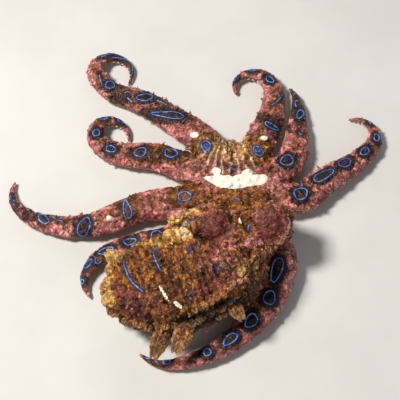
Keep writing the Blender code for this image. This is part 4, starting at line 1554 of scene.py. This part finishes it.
def skin_material(mottle):
    made, tree, shader = new_material("mottled octopus skin")
    place = millimetres(tree)
    group = add_node(tree, "ShaderNodeGroup", node_tree=mottle)
    tree.links.new(place, group.inputs["Place"])
    blotches, mottling = group.outputs["Blotches"], group.outputs["Mottling"]
    speckles, grain = group.outputs["Speckles"], group.outputs["Grain"]
    clouds, shade = group.outputs["Clouds"], group.outputs["Shade"]

    def ragged(name, low, high, amount=1.3):
        """A stored value with a ragged edge."""
        wavy = maths(tree, "MULTIPLY", maths(tree, "SUBTRACT", mottling, 0.5), amount)
        return in_range(tree, maths(tree, "ADD", stored(tree, name), wavy), low, high)

    colour = blended(tree, in_range(tree, blotches, 0.40, 0.60), SKIN_MAUVE, SKIN_PINK)
    browning = in_range(tree, maths(tree, "ADD", mottling, maths(tree, "MULTIPLY", blotches, 0.6)), 0.83, 0.95)
    clean = in_range(tree, stored(tree, "mauve"), 0.2, 0.8, 0.75, 0.15)
    colour = blended(tree, maths(tree, "MULTIPLY", browning, clean), colour, SKIN_BROWN)
    cloudy = maths(tree, "SUBTRACT", mottling, maths(tree, "MULTIPLY", clouds, 0.22))
    earth = blended(tree, in_range(tree, cloudy, 0.30, 0.46), SKIN_ORANGE, SKIN_BROWN)
    colour = blended(tree, maths(tree, "MULTIPLY", ragged("brown", 0.25, 0.65), 0.93), colour, earth)
    plum = blended(tree, in_range(tree, mottling, 0.42, 0.60), SKIN_BULB, SKIN_PLUM)
    colour = blended(tree, maths(tree, "MULTIPLY", ragged("plum", 0.3, 0.8, 1.0), 0.92), colour, plum)
    colour = blended(tree, maths(tree, "MULTIPLY", ragged("tan", 0.3, 0.65), 0.9), colour, SKIN_TAN)
    colour = blended(tree, ragged("tan", 0.80, 1.05, 0.6), colour, SKIN_CREAM)
    # Dark skin, and painted shadow and shade where the dark share holds them.
    colour = blended(tree, maths(tree, "MULTIPLY", ragged("dark", 0.4, 0.8), 0.88), colour, SKIN_DARK_AND_SHADOW)
    ribs = in_range(tree, stored(tree, "ribs"), 0.1, 0.9, 0.0, 0.55)
    colour = blended(tree, ribs, colour, SKIN_SPECK)
    troughs = in_range(tree, stored(tree, "ribs"), -0.1, -0.9, 0.0, 0.5)
    colour = blended(tree, troughs, colour, SKIN_BROWN)
    colour = blended(tree, maths(tree, "MULTIPLY", ragged("haze", 0.35, 0.75), 0.75), colour, SKIN_BLUE_HAZE)
    plain = maths(tree, "SUBTRACT", 1.0, maths(tree, "ADD", stored(tree, "dark"), stored(tree, "plum")))
    # Pale and golden specks on the raised places: partly the skin's own specks, partly painted glints of wet skin.
    raised = in_range(tree, stored(tree, "lift"), 0.05, 0.5, 0.15, 0.8)
    specks_and_glints = maths(tree, "MULTIPLY", speckles, in_range(tree, plain, -0.6, 0.6, 0.10, 1.0))
    speck_and_glint_colour = blended(tree, in_range(tree, stored(tree, "brown"), 0.2, 0.7), SKIN_SPECK, SKIN_GOLD_SPECK)
    colour = blended(tree, maths(tree, "MULTIPLY", specks_and_glints, raised), colour, speck_and_glint_colour)
    # The colour is scaled by pebble tones with painted shade between the pebbles, by painted shade in the creases,
    # and by cloudy tone.
    grains = add_node(tree, "ShaderNodeVectorMath", operation="SCALE")
    tree.links.new(colour, grains.inputs[0])
    # Painted shade: darker in the skin's creases and lighter on its raised places.
    crease_shade = in_range(tree, stored(tree, "lift"), -0.55, 0.35, 0.50, 1.18)
    light = maths(tree, "MULTIPLY", crease_shade, in_range(tree, clouds, 0.0, 1.0, 0.72, 1.22))
    tree.links.new(maths(tree, "MULTIPLY", shade, light), grains.inputs["Scale"])
    colour = grains.outputs["Vector"]
    colour = blended(tree, maths(tree, "MULTIPLY", stored(tree, "near"), 0.55), colour, SKIN_NAVY)
    colour = blended(tree, maths(tree, "MULTIPLY", stored(tree, "tip"), 0.45), colour, SKIN_PALE_TIP)
    colour = blended(tree, maths(tree, "MULTIPLY", stored(tree, "below"), 0.8), colour, SKIN_BELOW)
    colour = blended(tree, ragged("white", 0.42, 0.58, 0.6), colour, SKIN_WHITE)
    tree.links.new(colour, shader.inputs["Base Color"])
    tree.links.new(in_range(tree, mottling, 0.35, 0.65, 0.20, 0.36), shader.inputs["Roughness"])
    shader.inputs["Specular IOR Level"].default_value = 0.24
    bump = add_node(tree, "ShaderNodeBump")
    strength = in_range(tree, stored(tree, "smooth"), 0.0, 1.0, 1.0, 0.5)
    tree.links.new(strength, bump.inputs["Strength"])
    bump.inputs["Distance"].default_value = 0.45 * MM
    tree.links.new(grain, bump.inputs["Height"])
    tree.links.new(bump.outputs["Normal"], shader.inputs["Normal"])
    shader.inputs["Subsurface Weight"].default_value = 0.06
    shader.inputs["Subsurface Scale"].default_value = 0.5 * MM
    return made


def sucker_material(mottle):
    made, tree, shader = new_material("pale sucker skin")
    group = add_node(tree, "ShaderNodeGroup", node_tree=mottle)
    tree.links.new(millimetres(tree), group.inputs["Place"])
    share = in_range(tree, group.outputs["Mottling"], 0.35, 0.7)
    colour = blended(tree, share, (0.62, 0.46, 0.36), (0.40, 0.22, 0.18))
    tree.links.new(colour, shader.inputs["Base Color"])
    tree.links.new(in_range(tree, group.outputs["Grain"], 0.3, 0.9, 0.3, 0.5), shader.inputs["Roughness"])
    shader.inputs["Subsurface Weight"].default_value = 0.15
    shader.inputs["Subsurface Scale"].default_value = 0.6 * MM
    return made


def blue_material(mottle):
    made, tree, shader = new_material("glowing iridescent blue")
    group = add_node(tree, "ShaderNodeGroup", node_tree=mottle)
    tree.links.new(millimetres(tree), group.inputs["Place"])
    share = in_range(tree, group.outputs["Shade"], 0.5, 1.4)
    colour = blended(tree, share, (0.014, 0.085, 0.42), (0.10, 0.36, 0.74))
    violet = in_range(tree, group.outputs["Mottling"], 0.50, 0.62, 0.0, 0.55)
    colour = blended(tree, violet, colour, (0.040, 0.085, 0.50))
    tree.links.new(colour, shader.inputs["Base Color"])
    # The blue also glows faintly: painted light that makes the lines stand out.
    tree.links.new(colour, shader.inputs["Emission Color"])
    shader.inputs["Emission Strength"].default_value = 0.16
    tree.links.new(in_range(tree, group.outputs["Grain"], 0.3, 0.9, 0.2, 0.4), shader.inputs["Roughness"])
    return made


def eye_material():
    made, tree, shader = new_material("golden eye")
    place = add_node(tree, "ShaderNodeAttribute", attribute_name="eye_place")
    parts = add_node(tree, "ShaderNodeSeparateXYZ")
    tree.links.new(place.outputs["Vector"], parts.inputs["Vector"])
    x, y = parts.outputs["X"], parts.outputs["Y"]
    wide = maths(tree, "POWER", maths(tree, "DIVIDE", x, 0.40), 2.0)
    tall = maths(tree, "POWER", maths(tree, "DIVIDE", y, 0.13), 2.0)
    pupil = in_range(tree, maths(tree, "ADD", wide, tall), 1.15, 0.85)
    out = maths(tree, "SQRT", maths(tree, "ADD", maths(tree, "POWER", x, 2.0), maths(tree, "POWER", y, 2.0)), 0.0)
    fibres = noise_of(tree, place.outputs["Vector"], 9.0, 4.0, 0.7, 1.0)
    # The iris gold is kept dark, partly as painted shade over the eye.
    gold = blended(tree, in_range(tree, fibres, 0.35, 0.7), (0.38, 0.14, 0.024), (0.14, 0.040, 0.010))
    colour = blended(tree, in_range(tree, out, 0.60, 0.72), gold, (0.035, 0.014, 0.010))
    colour = blended(tree, pupil, colour, (0.002, 0.002, 0.003))
    tree.links.new(colour, shader.inputs["Base Color"])
    tree.links.new(in_range(tree, fibres, 0.3, 0.7, 0.12, 0.22), shader.inputs["Roughness"])
    shader.inputs["Coat Weight"].default_value = 1.0
    shader.inputs["Coat Roughness"].default_value = 0.03
    return made


def floor_material():
    made, tree, shader = new_material("pale floor")
    colour = blended(tree, in_range(tree, noise_of(tree, millimetres(tree), 0.02), 0.3, 0.7),
                     (0.60, 0.59, 0.57), (0.66, 0.65, 0.63))
    tree.links.new(colour, shader.inputs["Base Color"])
    shader.inputs["Roughness"].default_value = 0.9
    return made


# Floor, lights and camera


def row_shift():
    """From the design frame to the model's frame, in millimetres, by the left eye's place."""
    low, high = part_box("eye_left")
    return (low + high) / (2.0 * MM) - eye_centre(-1)


def to_model_frame(obj, shift):
    obj.data.transform(Matrix.Scale(MM, 4) @ Matrix.Translation(shift))
    obj.data.update()


def pale_floor(material):
    deselect_all()
    bpy.ops.mesh.primitive_plane_add(size=2.0, location=(0.0, 0.0, 0.0))
    floor = bpy.context.object
    floor.name = "floor"
    floor.data.materials.append(material)


def area_light(name, place, aim, size, energy, colour):
    data = bpy.data.lights.new(name, "AREA")
    data.energy = energy
    data.size = size
    data.color = colour
    lamp = bpy.data.objects.new(name, data)
    lamp.location = place
    lamp.rotation_euler = (Vector(aim) - Vector(place)).to_track_quat("-Z", "Y").to_euler()
    bpy.context.scene.collection.objects.link(lamp)


def studio():
    """Soft studio light, its key from the upper left as on the photograph."""
    area_light("key", (-0.32, 0.0, 0.47), (0.0, 0.0, 0.0), 0.12, 4.3, (1.0, 0.96, 0.90))
    area_light("fill", (0.30, -0.50, 0.35), (0.0, 0.0, 0.0), 0.40, 0.7, (0.93, 0.96, 1.0))
    area_light("back", (0.10, 0.55, 0.35), (0.0, 0.0, 0.0), 0.40, 0.5, (1.0, 1.0, 1.0))
    world = bpy.data.worlds.new("studio air")
    world.use_nodes = True
    world.node_tree.nodes["Background"].inputs["Color"].default_value = (0.88, 0.90, 0.93, 1.0)
    world.node_tree.nodes["Background"].inputs["Strength"].default_value = 0.14
    bpy.context.scene.world = world
    bpy.context.scene.view_settings.view_transform = "Standard"


def photo_camera(shift):
    data = bpy.data.cameras.new("photo_camera")
    data.lens = LENS
    data.sensor_width = SENSOR
    data.clip_start = 0.01
    camera = bpy.data.objects.new("photo_camera", data)
    camera.location = (CAMERA + shift) * MM
    camera.rotation_euler = (QUARTER - SIGHT_ELEVATION, 0.0, 0.0)
    bpy.context.scene.collection.objects.link(camera)
    bpy.context.scene.camera = camera


def dressed(obj, material, shift, slot, *nodes):
    """Gives a finished piece its material, place and body, and hides the parts it covers; the slot is not used."""
    obj.data.materials.clear()
    obj.data.materials.append(material)
    obj.data.shade_smooth()
    to_model_frame(obj, shift)
    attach(obj, "root")
    if nodes:
        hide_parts(*nodes)


def main():
    noise.seed_set(SEED)
    arms = {name: Arm(*facts) for name, facts in ARMS.items()}
    skull, bulbs, lids = head_bodies()
    bodies = {
        "arms": arm_bodies(arms),
        "web": [web_body(arms), hoop("lips", MOUTH + WEB_SOLE * UP, UP, LIP_RADIUS, LIP_THICK)],
        "head": [skull, neck_body(), *bulbs, *lids],
        "mantle": [mantle_body()],
        "siphon": [siphon_body()],
    }
    trees = {name: [copy_of(obj, "shape") for obj in objs] for name, objs in bodies.items()}
    skin = skin_over([obj for objs in bodies.values() for obj in objs])
    base = tree_of([skin])
    marks, seen_count = blue_marks(arms, base)
    fields = main_fields(skin, arms, trees, marks, seen_count)
    for objs in trees.values():
        for obj in objs:
            bpy.data.objects.remove(obj)
    shaped(skin, fields)
    values = coloured(skin, fields)
    surface = tree_of([skin])
    print("skin triangles", sum(len(face.vertices) - 2 for face in skin.data.polygons))

    lines = blue_lines(marks, surface)
    cups = suckers(arms)
    small = papillae(skin, fields, values)
    leaves = fringes(skin, surface, fields, values)
    left, right = eye("eyeball_left", -1), eye("eyeball_right", 1)

    shift = row_shift()
    mottle = mottle_group()
    flesh = skin_material(mottle)
    covered = [name for name in frame["nodes"] if not name.startswith("eye_")]
    dressed(skin, flesh, shift, "mantle_skin", *covered)
    dressed(small, flesh, shift, "mantle_skin")
    dressed(leaves, flesh, shift, "mantle_skin")
    dressed(cups, sucker_material(mottle), shift, "arm_skin")
    dressed(lines, blue_material(mottle), shift, "arm_skin")
    golden = eye_material()
    dressed(left, golden, shift, "eye", "eye_left")
    dressed(right, golden, shift, "eye", "eye_right")

    pale_floor(floor_material())
    studio()
    photo_camera(shift)


main()
